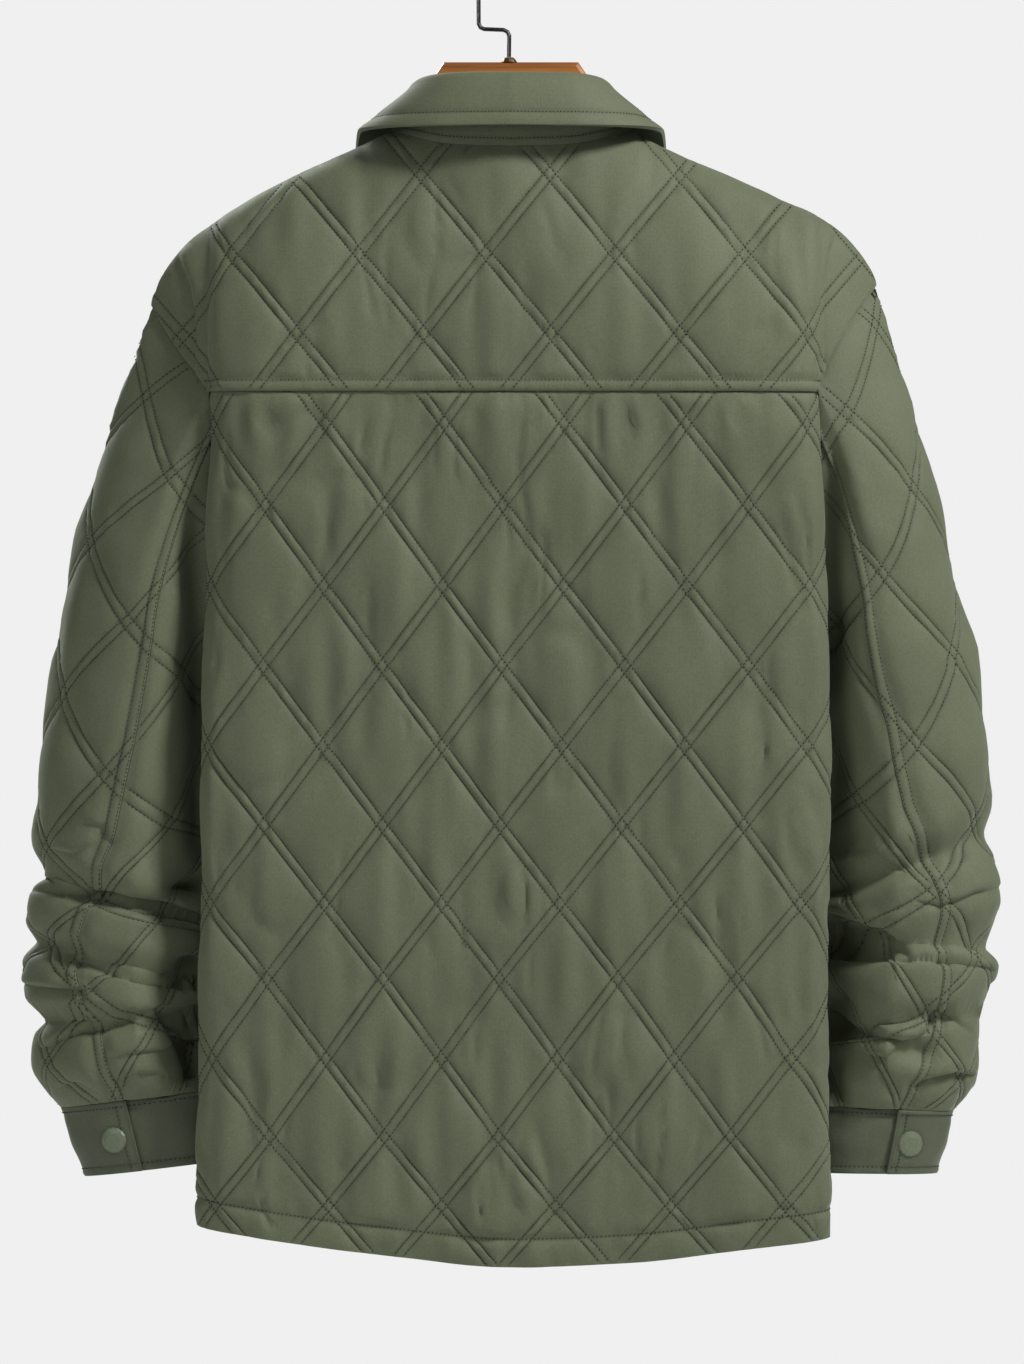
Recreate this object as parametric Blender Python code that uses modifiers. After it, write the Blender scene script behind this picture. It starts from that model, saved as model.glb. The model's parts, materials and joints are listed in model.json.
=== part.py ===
"""Quilted shirt jacket hanging on a wooden hanger, its back towards -Y.

The origin is the inside top of the hanger's hook, where a rail holds it. Sizes and tables are in
millimetres and become metres when a mesh is made. Heights are measured down from the origin, and
widths from the garment's own centre line.
"""

import math

import bmesh
import bpy
import numpy as np
from mathutils import Vector

for old in list(bpy.data.objects):
    bpy.data.objects.remove(old)
parts = bpy.data.collections.new("quilted_shirt_jacket")
bpy.context.scene.collection.children.link(parts)

MM = 0.001

# Driving sizes
CENTRE_X = 1.3  # the garment hangs this far to +X of the hook
SEAM_GAP = 0.3  # between two pieces at a seam
BACKING = 2.5  # wall under the quilting lines
PUFF = 3.4  # a quilted diamond's crown above its lines
SHARP_EDGE = 14.0  # degrees at which two faces meet in a crease
LEAST_MITRE = 0.4  # a mitred rim is lengthened no further than this share allows
YOKE_LINE = -299.0  # height of the back yoke's lower seam
CORNER = 207.0  # cloth from the centre to the fold at the panel's edge
NECK_CLOTH = 80.8  # cloth from the centre to the neck point
NECK_BEND = 71.0  # cloth from the centre to the steepest part of the front neck
PLACKET_HALF = 17.6
PLACKET_STEP = 5.6  # the right front lies this far behind the left one
STEP_RUN = 44.0  # width over which the right front comes level again
STAND_END = 2.5  # the collar stand's ends, from the centre
PLACKET_COLUMNS = (STAND_END, -8.0, -PLACKET_HALF)
SNAP_RADIUS = 8.5
SNAP_RISE = 2.8
SNAP_SEAT = 0.35  # a snap's clearance over the cloth's highest point
SNAP_PROFILE = [
    # share of the radius, share of the rise
    (0, 1),
    (0.55, 0.94),
    (0.88, 0.66),
    (1, 0.22),
    (0.96, 0),
    (0, 0),
]

# Quilting: diamonds whose crossings lie on half columns and half rows
DIAMOND_WIDE = 80.8
DIAMOND_TALL = 105.4
ROW_SHRINK = 0.195  # each half row down is shorter than the last by twice this
BACK_CROSSING = (40.4, -320.5)
YOKE_CROSSING = (20.2, -261.6)
ROUNDNESS = 0.5  # 1 for a diamond that is round all over, less for a flatter crown
SIDE_PUFF = 0.5  # share of the crown where body and sleeve lie close
QUIET = 100.0  # the crown grows to that share over this length below the armhole
NET_SLACK = 0.3  # share of a net's cell by which a crossing may lie off its point

SIDES = {"left": -1, "right": 1}
BACK, FRONT = -1, 1

BODY = {
    # height, half width of the back, of the front, of the side seam
    "left": [
        (-870, 204, 192, 182),
        (-730, 203, 188, 172),
        (-600, 201, 186, 168),
        (-490, 200, 186, 168),
        (-400, 197, 189, 169),
        (-330, 195, 193, 171),
        (-299, 196, 196, 174),
    ],
    "right": [
        (-870, 208, 196, 186),
        (-730, 206, 193, 177),
        (-600, 207, 192, 174),
        (-490, 207, 192, 174),
        (-400, 204, 194, 175),
        (-330, 201, 197, 176),
        (-299, 200, 200, 178),
    ],
}
DEPTH = [
    # height, back, front
    (-870, 50, 48),
    (-730, 56, 53),
    (-600, 60, 56),
    (-400, 62, 57),
    (-299, 60, 55),
]

# The plan section from the centre to the side seam: a crowned panel, a fold, and cloth turned in
SECTION = [
    # cloth, share of half width, share of the turn-in, share of depth
    (0, 0.00, 0.00, 1.000),
    (100, 0.50, 0.00, 0.985),
    (170, 0.85, 0.00, 0.920),
    (194, 0.965, 0.00, 0.810),
    (207, 1.00, 0.00, 0.630),
    (223, 1.00, 0.30, 0.400),
    (244, 1.00, 0.80, 0.130),
    (254, 1.00, 1.00, 0.000),
]

# The shoulder line over the hanger, and the same line carried on over the neck hole
RIDGE = {
    # distance from the centre, height
    "left": [
        (0, -89),
        (78, -127),
        (108, -141.6),
        (141, -156),
        (172, -173),
        (195, -187.7),
        (209, -198),
        (221, -212),
        (231, -229),
        (235.5, -241),
    ],
    "right": [
        (0, -89),
        (78, -127),
        (108, -141.6),
        (141, -156),
        (172, -170),
        (200, -182.5),
        (213.5, -191.5),
        (227, -206),
        (235, -219),
        (239.2, -228),
    ],
}
FALL_SHAPE = [
    # share of the drop below the shoulder line, share of depth reached
    (0, 0),
    (0.03, 0.2),
    (0.1, 0.4),
    (0.3, 0.65),
    (0.6, 0.88),
    (1, 1),
]
SHOULDER_DROPS = (12.0, 4.0, 0.0)  # the last rows of cloth below the shoulder line
ROW_LIMIT = 24.0  # the other rows stay this far below it
NEAR = 6.0  # a row this close to an edge of its piece moves onto it

# The armhole from the panel's fold up to the shoulder tip, then from the fold down to the armpit
ARMHOLE_TOP = {
    # share of the way from fold to tip, height
    "left": [(0, -299), (0.25, -286), (0.5, -273), (0.75, -258), (1, -241)],
    "right": [(0, -299), (0.25, -272), (0.5, -254), (0.75, -240), (1, -228)],
}
ARMHOLE_SIDE = [
    # cloth, height
    (207, -299),
    (210, -330),
    (215.5, -366),
    (222.5, -402),
    (231.5, -438),
    (242, -470),
    (254, -490),
]
HEM = [
    # cloth, height of the back hem, height of the front hem
    (-254, -832, -832),
    (-203, -841.5, -840),
    (-140, -852, -850),
    (-70, -861, -856),
    (0, -867.5, -858),
    (70, -865, -857),
    (140, -857, -853),
    (203, -849, -845),
    (254, -838, -838),
]
NECK = {
    # distance from the centre, height
    BACK: [(0, -139), (40, -137), (65, -131.5), (79, -127.5)],
    FRONT: [(0, -207), (17.6, -206), (40, -198), (59, -181), (70, -160), (79, -127.5)],
}

# One row for each ring of a sleeve, from below the armhole to the cuff. From the seventh on the
# cloth is bunched in rolls, and the rings with the least depth are the valleys between them.
SLEEVE = {
    # outer x, outer height, inner x, inner height, half depth, forward, angle of the seams
    "left": [
        (281.0, -386, 184, -530, 46, 5, 90),
        (288.0, -418, 184, -541, 46, 6, 90),
        (294.0, -452, 184, -553, 46, 7, 89),
        (300.0, -492, 184, -570, 46, 8, 87),
        (306.0, -530, 184, -592, 46, 8, 84),
        (309.5, -568, 184, -615, 46, 8, 80),
        (311.5, -592, 184, -632, 47, 8, 74),
        (303.0, -613.6, 190, -648, 37, 8, 70),
        (315.0, -627, 182, -656, 47, 8, 66),
        (316.0, -643, 182, -672, 47, 8, 62),
        (307.0, -658, 190, -688, 37, 8, 60),
        (317.5, -672, 182, -693, 46, 8, 61),
        (317.0, -692, 182, -700, 46, 8, 64),
        (302.0, -709, 189, -707, 36, 8, 68),
        (309.5, -721, 184, -716, 43, 8, 72),
        (310.5, -738, 184, -733, 41, 8, 76),
        (302.0, -756, 186, -745, 34, 8, 79),
        (295.0, -766, 190, -753, 29, 8, 80),
    ],
    "right": [
        (278.5, -370.5, 190, -530, 46, 5, 94),
        (286.5, -407, 190, -541, 46, 6, 94),
        (293.5, -436, 190, -553, 46, 7, 93),
        (301.0, -465, 190, -567, 46, 8, 91),
        (307.0, -505, 190, -585, 46, 8, 89),
        (312.0, -540, 190, -604, 46, 8, 86),
        (313.0, -562, 190, -618, 47, 8, 80),
        (307.5, -587, 196, -633, 37, 8, 74),
        (316.0, -604, 188, -640, 47, 8, 70),
        (319.0, -630, 188, -646, 47, 8, 66),
        (306.8, -662, 196, -652, 37, 8, 65),
        (315.5, -675, 188, -668, 46, 8, 62),
        (310.0, -692, 188, -690, 45, 8, 60),
        (304.0, -704, 195, -714, 36, 8, 60),
        (304.5, -716, 188, -724, 42, 8, 60),
        (304.0, -735, 190, -740, 40, 8, 68),
        (301.0, -750, 192, -752, 34, 8, 76),
        (290.0, -768, 195, -764, 29, 8, 77),
    ],
}
CAP_RINGS = 5  # steps from the armhole to the first of those rings
CAP_SPREAD = 0.9  # how much sooner a sleeve's inner side leaves the body than its outer side
HALF_RING = 10  # columns of cloth from a sleeve's outer edge to its inner edge
SEAM_COLUMN = 5  # the column on which a sleeve's seams lie

CUFF_FOOT = {
    # outer x, outer height, inner x, inner height, half depth, forward
    "left": (279, -811, 186, -800, 28, 8),
    "right": (279, -809, 192, -808, 28, 8),
}
CUFF_ROWS = (0.0, 0.35, 0.7, 1.0)
CUFF_LAP = 2  # columns by which the cuff's ends lap past the seam column
CUFF_STEP = 3.9  # the cuff's under end lies this far inside its flap
CUFF_DIVE = {7: 0.4, 6: 0.85, 5: 1.0, 4: 1.0, 3: 1.0}  # share of the step on the last columns
CUFF_SNAP = (4, 1)  # column and row that the snap sits on

COLLAR = [
    # share of the neck from centre back to front: fold x, y, height; edge x, y, height
    (0.00, 0, -38, -95.5, 0, -53, -126.0),
    (0.20, 34, -34, -95.5, 42, -50, -126.5),
    (0.38, 55, -17, -98.5, 82, -31, -127.0),
    (0.50, 60, 1, -105, 98, -2, -128.0),
    (0.64, 56, 22, -119, 101, 27, -146.0),
    (0.82, 39, 42, -148, 88, 53, -182.0),
    (1.00, 6, 54, -171, 64, 67, -216.0),
]
STAND_REACH = 0.84  # the stand stops at this share of the way up to the fold
STAND_WALL = 2.8
ROLL = 8.0  # width of the fall's roll over the stand
ROLL_RISE = 1.5  # the roll's crest above the fold
ROLL_DROP = 2.5  # the roll's outer side below the fold
ROLL_FOOT = 0.8  # share of the way to the fold at which the roll begins
FALL_BOW = 1.5  # the fall's middle lies this far out of a straight line

FRONT_SNAPS = 6
TOP_SNAP = 25.0  # below the neck
LOW_SNAP = 62.0  # above the hem
WOOD_HALF = 6.0  # half the hanger's thickness
WOOD_UNDER = 5.4  # top of the wood below the shoulder line's outer side
WOOD_EDGE = 2.6  # rounding of the wood's edges
WOOD_CORNER = 60.0  # degrees from which an edge is rounded
WOOD_NECK = [(0, -82.2), (44, -82.2), (49.7, -90.4), (53, -108), (61, -130), (78, -138)]
WOOD_REACH = 199.0
WOOD_TIP = [(4, 0.3), (4, 0.7)]  # beyond the end, share of the end's height below its top
WOOD_BELLY = 49.0  # the underside runs straight across inside this distance
WOOD_HEIGHT = [(0, 50), (44, 46), (78, 30), (120, 30), (199, 22)]
WIRE_RADIUS = 1.4
HOOK_RADIUS = 20.0
HOOK_STEPS = 14
HOOK_STEM = [
    # x, height
    (0, -78.5),
    (0.2, -64.5),
    (-1.0, -62.0),
    (-3.6, -60.8),
    (-16.2, -60.3),
    (-18.6, -59.2),
    (-19.8, -56.6),
]
# drop below the bow's end, share of the wire's radius
HOOK_END = [(2.0, 1.0), (3.2, 1.7), (5.0, 1.9), (6.6, 1.4), (7.3, 0.6)]
FERRULE = [(0, -78.9), (3.0, -78.9), (3.8, -79.6), (5.4, -81.9), (0, -81.9)]

# colour, roughness, metallic
FINISH = {
    "quilted_cloth": ((0.115, 0.135, 0.078), 0.72, 0.0),
    "plain_cloth": ((0.105, 0.125, 0.072), 0.70, 0.0),
    "snap_caps": ((0.16, 0.19, 0.115), 0.40, 0.0),
    "hanger_wood": ((0.22, 0.10, 0.045), 0.45, 0.0),
    "hanger_metal": ((0.62, 0.62, 0.62), 0.28, 1.0),
}


def read(table, at, column=1):
    """One column of a table at a place of its first column, on a smooth curve with no overshoot."""
    rows = np.asarray(table, float)
    knots, values = rows[:, 0], rows[:, column]
    step = np.diff(knots)
    slope = np.diff(values) / step
    tangent = np.zeros(len(knots))
    tangent[0], tangent[-1] = slope[0], slope[-1]
    for i in range(1, len(slope)):
        if slope[i - 1] * slope[i] > 0:
            tangent[i] = 2 * slope[i - 1] * slope[i] / (slope[i - 1] + slope[i])
    at = min(max(at, knots[0]), knots[-1])
    row = min(int(np.searchsorted(knots, at, side="right")) - 1, len(step) - 1)
    share = (at - knots[row]) / step[row]
    rest = 1 - share
    ends = values[row] * (1 + 2 * share) * rest**2 + values[row + 1] * (3 - 2 * share) * share**2
    bend = tangent[row] * rest - tangent[row + 1] * share
    return float(ends + step[row] * share * rest * bend)


def ease(share):
    share = min(max(share, 0.0), 1.0)
    return share * share * (3 - 2 * share)


def unit(vectors):
    length = np.linalg.norm(vectors, axis=-1, keepdims=True)
    return vectors / np.maximum(length, 1e-9)


# The body's surface


def section_point(side, face, cloth, height):
    """A point of the body's plan section, the given length of cloth away from the centre."""
    wide = read(BODY[side], height, 1 if face == BACK else 2)
    turn_in = wide - read(BODY[side], height, 3)
    deep = read(DEPTH, height, 1 if face == BACK else 2)
    x = wide * read(SECTION, cloth) - turn_in * read(SECTION, cloth, 2)
    return SIDES[side] * x, face * deep * read(SECTION, cloth, 3)


class Column:
    """One upright line of cloth. With an end share it stands beyond the fold, over the armhole."""

    def __init__(self, side, face, cloth=CORNER, end=0.0):
        self.side = side
        self.face = face
        self.cloth = cloth
        self.end = end
        fold_x, fold_y = section_point(side, face, cloth, YOKE_LINE)
        tip_x = SIDES[side] * RIDGE[side][-1][0]
        self.x = fold_x + end * (tip_x - fold_x)
        self.y = fold_y * (1 - end)
        self.foot = read(ARMHOLE_TOP[side], end)
        self.top = read(RIDGE[side], abs(self.x))

    def point(self, height):
        x, y = self.x, self.y
        if self.end == 0 and height <= YOKE_LINE:
            x, y = section_point(self.side, self.face, self.cloth, height)
        elif self.top - self.foot > SEAM_GAP:
            y *= read(FALL_SHAPE, (self.top - height) / (self.top - self.foot))
        if self.face == FRONT and self.side == "right":
            y -= PLACKET_STEP * (1 - ease((abs(x) - PLACKET_HALF) / STEP_RUN))
        return x, y, height

    def calm(self, height):
        """Share of the quilting's crown, lower beside the armhole and on the turned-in side."""
        if self.cloth < CORNER:
            return 1.0
        share = 1.0 if self.cloth == CORNER else SIDE_PUFF
        if self.end > 0 or height > YOKE_LINE:
            return share
        top = max(read(ARMHOLE_SIDE, self.cloth), height)
        return share * min((top - height) / QUIET, 1)

    def across(self):
        return self.x if self.cloth <= CORNER else SIDES[self.side] * self.cloth

    def lower_heights(self):
        """Rows from the hem to the yoke line, or to the armhole beyond the fold."""
        low = read(HEM, SIDES[self.side] * self.cloth, 1 if self.face == BACK else 2)
        high = YOKE_LINE if self.cloth <= CORNER else read(ARMHOLE_SIDE, self.cloth)
        return hold(LOWER_ROWS, low, high)

    def upper_heights(self, rows):
        """Rows from the yoke line or the armhole to the neck or the shoulder line."""
        high = self.top
        if self.end == 0 and self.cloth < NECK_CLOTH:
            high = read(NECK[self.face], abs(self.x))
        body = hold(rows, self.foot, max(min(high, self.top - ROW_LIMIT), self.foot))
        return body + [max(min(high, self.top - drop), self.foot) for drop in SHOULDER_DROPS]


def hold(rows, low, high):
    """The rows between two limits, with the limits added. A row close to a limit moves onto it."""
    held = [min(max(row, low), high) for row in rows]
    held = [low if row - low < NEAR else high if high - row < NEAR else row for row in held]
    return [low, *held, high]


FLAT_CLOTH = [DIAMOND_WIDE / 4 * n for n in range(1, 10)]
PANEL_CLOTH = FLAT_CLOTH + [195.0, CORNER]
SIDE_CLOTH = [row[0] for row in ARMHOLE_SIDE[1:]]
END_SHARES = (0.25, 0.5, 0.75, 1.0)


# Quilting


def crossing_height(row, first=BACK_CROSSING[1]):
    """Height of a half row of crossings. The rows close up a little towards the hem."""
    return first - DIAMOND_TALL / 2 * row + ROW_SHRINK * max(row, 0) ** 2


def crossing_row(height, first):
    below = first - height
    half = DIAMOND_TALL / 4
    if below <= 0:
        return below / (2 * half)
    return (half - math.sqrt(half**2 - ROW_SHRINK * below)) / ROW_SHRINK


LOWER_ROWS = [crossing_height(k / 2) for k in range(21, -1, -1)]
FRONT_ROWS = [crossing_height(-k / 2) for k in range(2, 8)]
YOKE_ROWS = [YOKE_CROSSING[1] + DIAMOND_TALL / 4 * k for k in range(-1, 6)]


def near_whole(number):
    """Drops a small offset, so that the crossings fall on the net's own points."""
    return round(number) if abs(number - round(number)) < NET_SLACK else number


def puff(across, down):
    """Rise of the quilting at a place counted in quarter diamonds: nothing on the lines."""
    rise = PUFF
    for line in ((across + down) / 4, (across - down) / 4):
        rise *= abs(math.sin(math.pi * line)) ** ROUNDNESS
    return rise


def quilted_net(columns, heights, crossing):
    """Points and rises over some columns of the body, each with its own row heights."""
    points, rises = [], []
    for column, rows in zip(columns, heights):
        across = near_whole((column.across() - crossing[0]) / (DIAMOND_WIDE / 4))
        points.append([column.point(height) for height in rows])
        down = [near_whole(2 * crossing_row(height, crossing[1])) for height in rows]
        rises.append([column.calm(height) * puff(across, row) for height, row in zip(rows, down)])
    return np.swapaxes(np.array(points), 0, 1), np.array(rises).T


def plain_net(points):
    points = np.array(points, float)
    return points, np.zeros(points.shape[:2])


# Cut pieces as walls


class Cloth:
    """A cut piece: nets of points on its outer side, joined where their points coincide."""

    def __init__(self, name, nets, flip=False, backing=BACKING, finish="quilted_cloth"):
        self.name = name
        self.flip = flip
        self.backing = backing
        self.finish = finish
        number = {}
        rises = []
        self.faces = []
        for points, net_rises in nets:
            ids = np.empty(points.shape[:2], int)
            for place in np.ndindex(ids.shape):
                key = tuple(np.round(points[place], 2))
                ids[place] = number.setdefault(key, len(number))
                if ids[place] == len(rises):
                    rises.append(net_rises[place])
            self.add_faces(ids, rises)
        self.rises = np.array(rises)
        self.keys = list(number)
        self.places = np.array(self.keys)
        self.find_border()
        self.find_normals()

    def add_faces(self, ids, rises):
        """Two triangles for each cell, parted along the lower diagonal, where the stitching runs."""
        for r, c in np.ndindex(ids.shape[0] - 1, ids.shape[1] - 1):
            a, b, d, e = ids[r, c], ids[r, c + 1], ids[r + 1, c + 1], ids[r + 1, c]
            along_a = rises[a] + rises[d] <= rises[b] + rises[e]
            for face in ((a, b, d), (a, d, e)) if along_a else ((a, b, e), (b, d, e)):
                if len(set(face)) == 3:
                    self.faces.append(face[::-1] if self.flip else face)

    def find_border(self):
        edges = set()
        for a, b, c in self.faces:
            edges |= {(a, b), (b, c), (c, a)}
        self.border = [(int(a), int(b)) for a, b in sorted(edges) if (b, a) not in edges]
        self.rises[[a for a, _ in self.border]] = 0

    def find_normals(self):
        turned = np.zeros_like(self.places)
        for a, b, c in self.faces:
            turn = np.cross(self.places[b] - self.places[a], self.places[c] - self.places[a])
            for i in (a, b, c):
                turned[i] += turn
        self.normals = unit(turned)
        self.reach = np.ones(len(self.places))

    def seam_keys(self):
        return {tuple(np.round(self.places[a], 1)): a for a, _ in self.border}

    def inset_border(self):
        """Draws the border in by half a seam's gap, square to both of its edges."""
        inward = {}
        for a, b in self.border:
            along = self.places[b] - self.places[a]
            for i in (a, b):
                inward.setdefault(i, []).append(unit(np.cross(self.normals[i], along)))
        for i, (first, second) in inward.items():
            room = max(1 + float(first @ second), LEAST_MITRE)
            self.places[i] += (first + second) / room * self.reach[i] * SEAM_GAP / 2

    def build(self):
        self.inset_border()
        outer = self.places + self.normals * self.rises[:, None]
        inner = self.places - self.normals * (self.backing * self.reach)[:, None]
        count = len(outer)
        faces = list(self.faces)
        faces += [tuple(i + count for i in face[::-1]) for face in self.faces]
        for a, b in self.border:
            # The rims of two pieces that meet are split along the same diagonal.
            if self.keys[a][::-1] < self.keys[b][::-1]:
                faces += [(b, a, b + count), (a, a + count, b + count)]
            else:
                faces += [(b, a, a + count), (b, a + count, b + count)]
        return mesh_object(self.name, np.vstack([outer, inner]), faces, self.finish)


def mate_seams(pieces):
    """Where pieces meet, their rims take one mitred direction, so that they lie face to face."""
    seams = {}
    for piece in pieces:
        for key, i in piece.seam_keys().items():
            seams.setdefault(key, []).append((piece, i))
    for meeting in seams.values():
        total = sum(piece.normals[i] for piece, i in meeting)
        size = float(np.linalg.norm(total)) / len(meeting)
        for piece, i in meeting:
            piece.normals[i] = total / np.linalg.norm(total)
            piece.reach[i] = 1 / max(size, LEAST_MITRE)


def material(finish):
    made = bpy.data.materials.get(finish)
    if made is None:
        colour, roughness, metallic = FINISH[finish]
        made = bpy.data.materials.new(finish)
        made.use_nodes = True
        shader = made.node_tree.nodes["Principled BSDF"]
        shader.inputs["Base Color"].default_value = (*colour, 1)
        shader.inputs["Roughness"].default_value = roughness
        shader.inputs["Metallic"].default_value = metallic
    return made


def part_object(name, data, finish):
    data.materials.append(material(finish))
    made = bpy.data.objects.new(name, data)
    parts.objects.link(made)
    return made


def mesh_object(name, points, faces, finish):
    mesh = bpy.data.meshes.new(name)
    places = (np.asarray(points) + (CENTRE_X, 0, 0)) * MM
    mesh.from_pydata(places.tolist(), [], [[int(i) for i in face] for face in faces])
    mesh.shade_smooth()
    mesh.set_sharp_from_angle(angle=math.radians(SHARP_EDGE))
    return part_object(name, mesh, finish)


# Yoke, back and fronts


def mirrored(make):
    """Columns from the left armhole to the right one, with the centre column between."""
    left = [make("left", item) for item in PANEL_CLOTH][::-1]
    centre = Column("right", BACK, 0.0)
    return [*left, centre, *[make("right", item) for item in PANEL_CLOTH]]


def yoke_back():
    columns = mirrored(lambda side, cloth: Column(side, BACK, cloth))
    columns = [Column("left", BACK, end=e) for e in END_SHARES[::-1]] + columns
    columns += [Column("right", BACK, end=e) for e in END_SHARES]
    heights = [column.upper_heights(YOKE_ROWS) for column in columns]
    return Cloth("yoke_back", [quilted_net(columns, heights, YOKE_CROSSING)])


def back_panel():
    columns = [Column("left", BACK, cloth) for cloth in SIDE_CLOTH[::-1]]
    columns += mirrored(lambda side, cloth: Column(side, BACK, cloth))
    columns += [Column("right", BACK, cloth) for cloth in SIDE_CLOTH]
    heights = [column.lower_heights() for column in columns]
    return Cloth("back", [quilted_net(columns, heights, BACK_CROSSING)])


def front_panel(side):
    """A front, whose net runs up to the shoulder inside the fold and to the armhole beyond it."""
    crossing = (SIDES[side] * BACK_CROSSING[0], BACK_CROSSING[1])
    clothes = [PLACKET_HALF, *FLAT_CLOTH[1:3], NECK_BEND, *FLAT_CLOTH[3:], *PANEL_CLOTH[-2:]]
    body = [Column(side, FRONT, cloth) for cloth in clothes]
    ends = body[-1:] + [Column(side, FRONT, end=e) for e in END_SHARES]
    sides = body[-1:] + [Column(side, FRONT, cloth) for cloth in SIDE_CLOTH]
    whole = [column.lower_heights() + column.upper_heights(FRONT_ROWS)[1:] for column in body]
    nets = [
        quilted_net(body, whole, crossing),
        quilted_net(ends, [column.upper_heights(FRONT_ROWS) for column in ends], crossing),
        quilted_net(sides, [column.lower_heights() for column in sides], crossing),
    ]
    return Cloth(f"front_{side}", nets, flip=side == "right")


def placket_point(side, x, height):
    """A point of a placket, which carries its own front's surface on over the centre line."""
    return x, Column(side, FRONT, abs(x)).point(height)[1], height


def placket(side):
    """A strip from its own front's edge over the centre. The right one lies behind the left."""
    edge = Column(side, FRONT, PLACKET_HALF)
    heights = edge.lower_heights() + edge.upper_heights(FRONT_ROWS)[1:]
    columns = [[edge.point(height) for height in heights]]
    for reach in PLACKET_COLUMNS:
        x = SIDES[side] * reach
        low, top = read(HEM, x, 2), read(NECK[FRONT], reach)
        line = [low, *heights[1:-1], top]
        columns.append([placket_point(side, x, min(height, top)) for height in line])
    net = plain_net(np.swapaxes(np.array(columns), 0, 1))
    return Cloth(f"placket_{side}", [net], flip=side == "left", finish="plain_cloth")


# Sleeves and cuffs


def armhole(side, face):
    """The armhole's points on one face, from the shoulder tip to the armpit."""
    ends = [Column(side, face, end=e) for e in END_SHARES[::-1]]
    points = [column.point(column.foot) for column in ends]
    return points + [Column(side, face, cloth).point(height) for cloth, height in ARMHOLE_SIDE]


def ring_point(row, side, column, inward=0.0):
    """A point of a sleeve's or cuff's ring. Columns count from the outer edge over the back."""
    outer_x, outer_z, inner_x, inner_z, deep, forward, seam = row
    turn = column % (2 * HALF_RING)
    face = BACK if turn <= HALF_RING else FRONT
    turn = min(turn, 2 * HALF_RING - turn)
    if turn <= SEAM_COLUMN:
        angle = seam * turn / SEAM_COLUMN
    else:
        angle = seam + (180 - seam) * (turn - SEAM_COLUMN) / (HALF_RING - SEAM_COLUMN)
    middle = ((outer_x + inner_x) / 2, (outer_z + inner_z) / 2)
    half = math.hypot(outer_x - inner_x, outer_z - inner_z) / 2
    along = math.cos(math.radians(angle)) * (half - inward) / half
    x = middle[0] + along * (outer_x - inner_x) / 2
    z = middle[1] + along * (outer_z - inner_z) / 2
    y = forward + face * math.sin(math.radians(angle)) * (deep - inward)
    return SIDES[side] * x, y, z


def cap_point(side, step, column):
    """A point of the sleeve's head, between the armhole and the first full ring."""
    loop = armhole(side, BACK) + armhole(side, FRONT)[-2:0:-1]
    start = np.array(loop[column % len(loop)])
    end = np.array(ring_point(SLEEVE[side][0], side, column))
    share = step / CAP_RINGS
    turn = min(column % len(loop), -column % len(loop))
    sooner = 1 - (1 - share) ** (1 + CAP_SPREAD * turn / HALF_RING)
    return start + (end - start) * (sooner, share, share)


def sleeve_rise(ring, column):
    """Quilting of a sleeve, lower next to the armhole and on the inner side."""
    turn = min(column % (2 * HALF_RING), -column % (2 * HALF_RING))
    share = SIDE_PUFF if turn > SEAM_COLUMN else 1.0
    return share * puff(column, ring) * min(ring / CAP_RINGS, 1)


def sleeve_piece(side, kind):
    first = -SEAM_COLUMN if kind == "upper" else SEAM_COLUMN
    columns = range(first, first + HALF_RING + 1)
    rings = [[cap_point(side, step, column) for column in columns] for step in range(CAP_RINGS)]
    rings += [[ring_point(row, side, column) for column in columns] for row in SLEEVE[side]]
    rises = [[sleeve_rise(ring, column) for column in columns] for ring in range(len(rings))]
    net = np.array(rings), np.array(rises)
    return Cloth(f"sleeve_{side}_{kind}", [net], flip=side == "left")


def cuff_ring(side, share):
    """A row of sizes between the cuff's top and its foot."""
    top = SLEEVE[side][-1]
    foot = (*CUFF_FOOT[side], top[-1])
    return [a + (b - a) * share for a, b in zip(top, foot)]


def cuff(side):
    """A band from the flap's end right round to the lapped end under the flap."""
    rings = []
    lap = SEAM_COLUMN - 2 * HALF_RING
    columns = range(SEAM_COLUMN, lap - CUFF_LAP - 1, -1)
    for share in CUFF_ROWS:
        row = cuff_ring(side, share)
        ring = []
        for column in columns:
            dive = 0.0
            if column <= lap + CUFF_LAP:
                dive = CUFF_DIVE[column % (2 * HALF_RING)]
            ring.append(ring_point(row, side, column, CUFF_STEP * dive))
        rings.append(ring)
    return Cloth(f"cuff_{side}", [plain_net(rings)], flip=side == "right", finish="plain_cloth")


# Collar


def neckline(side):
    """The neck seam from the centre back to the front end, on the body's own points."""
    points = [Column(side, BACK, cloth) for cloth in (0.0, *FLAT_CLOTH[:4])]
    line = [column.point(column.upper_heights([])[-1]) for column in points]
    clothes = (NECK_BEND, *FLAT_CLOTH[2:0:-1], PLACKET_HALF)
    front = [Column(side, FRONT, cloth) for cloth in clothes]
    line += [column.point(column.upper_heights([])[-1]) for column in front]
    x = SIDES[side] * STAND_END
    line.append(placket_point(side, x, read(NECK[FRONT], STAND_END)))
    return np.array(line)


def collar_rows(side):
    """For each point of the neck seam: the seam, the fold above it and the fall's edge."""
    line = neckline(side)
    run = np.concatenate([[0], np.cumsum(np.linalg.norm(np.diff(line, axis=0), axis=1))])
    rows = []
    for share, seam in zip(run / run[-1], line):
        numbers = [read(COLLAR, share, column) for column in range(1, 7)]
        fold, edge = np.array(numbers[:3]), np.array(numbers[3:])
        mirror = np.array([SIDES[side], 1, 1])
        rows.append((seam, fold * mirror, edge * mirror))
    return rows


def whole_collar():
    return collar_rows("left")[:0:-1] + collar_rows("right")


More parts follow.
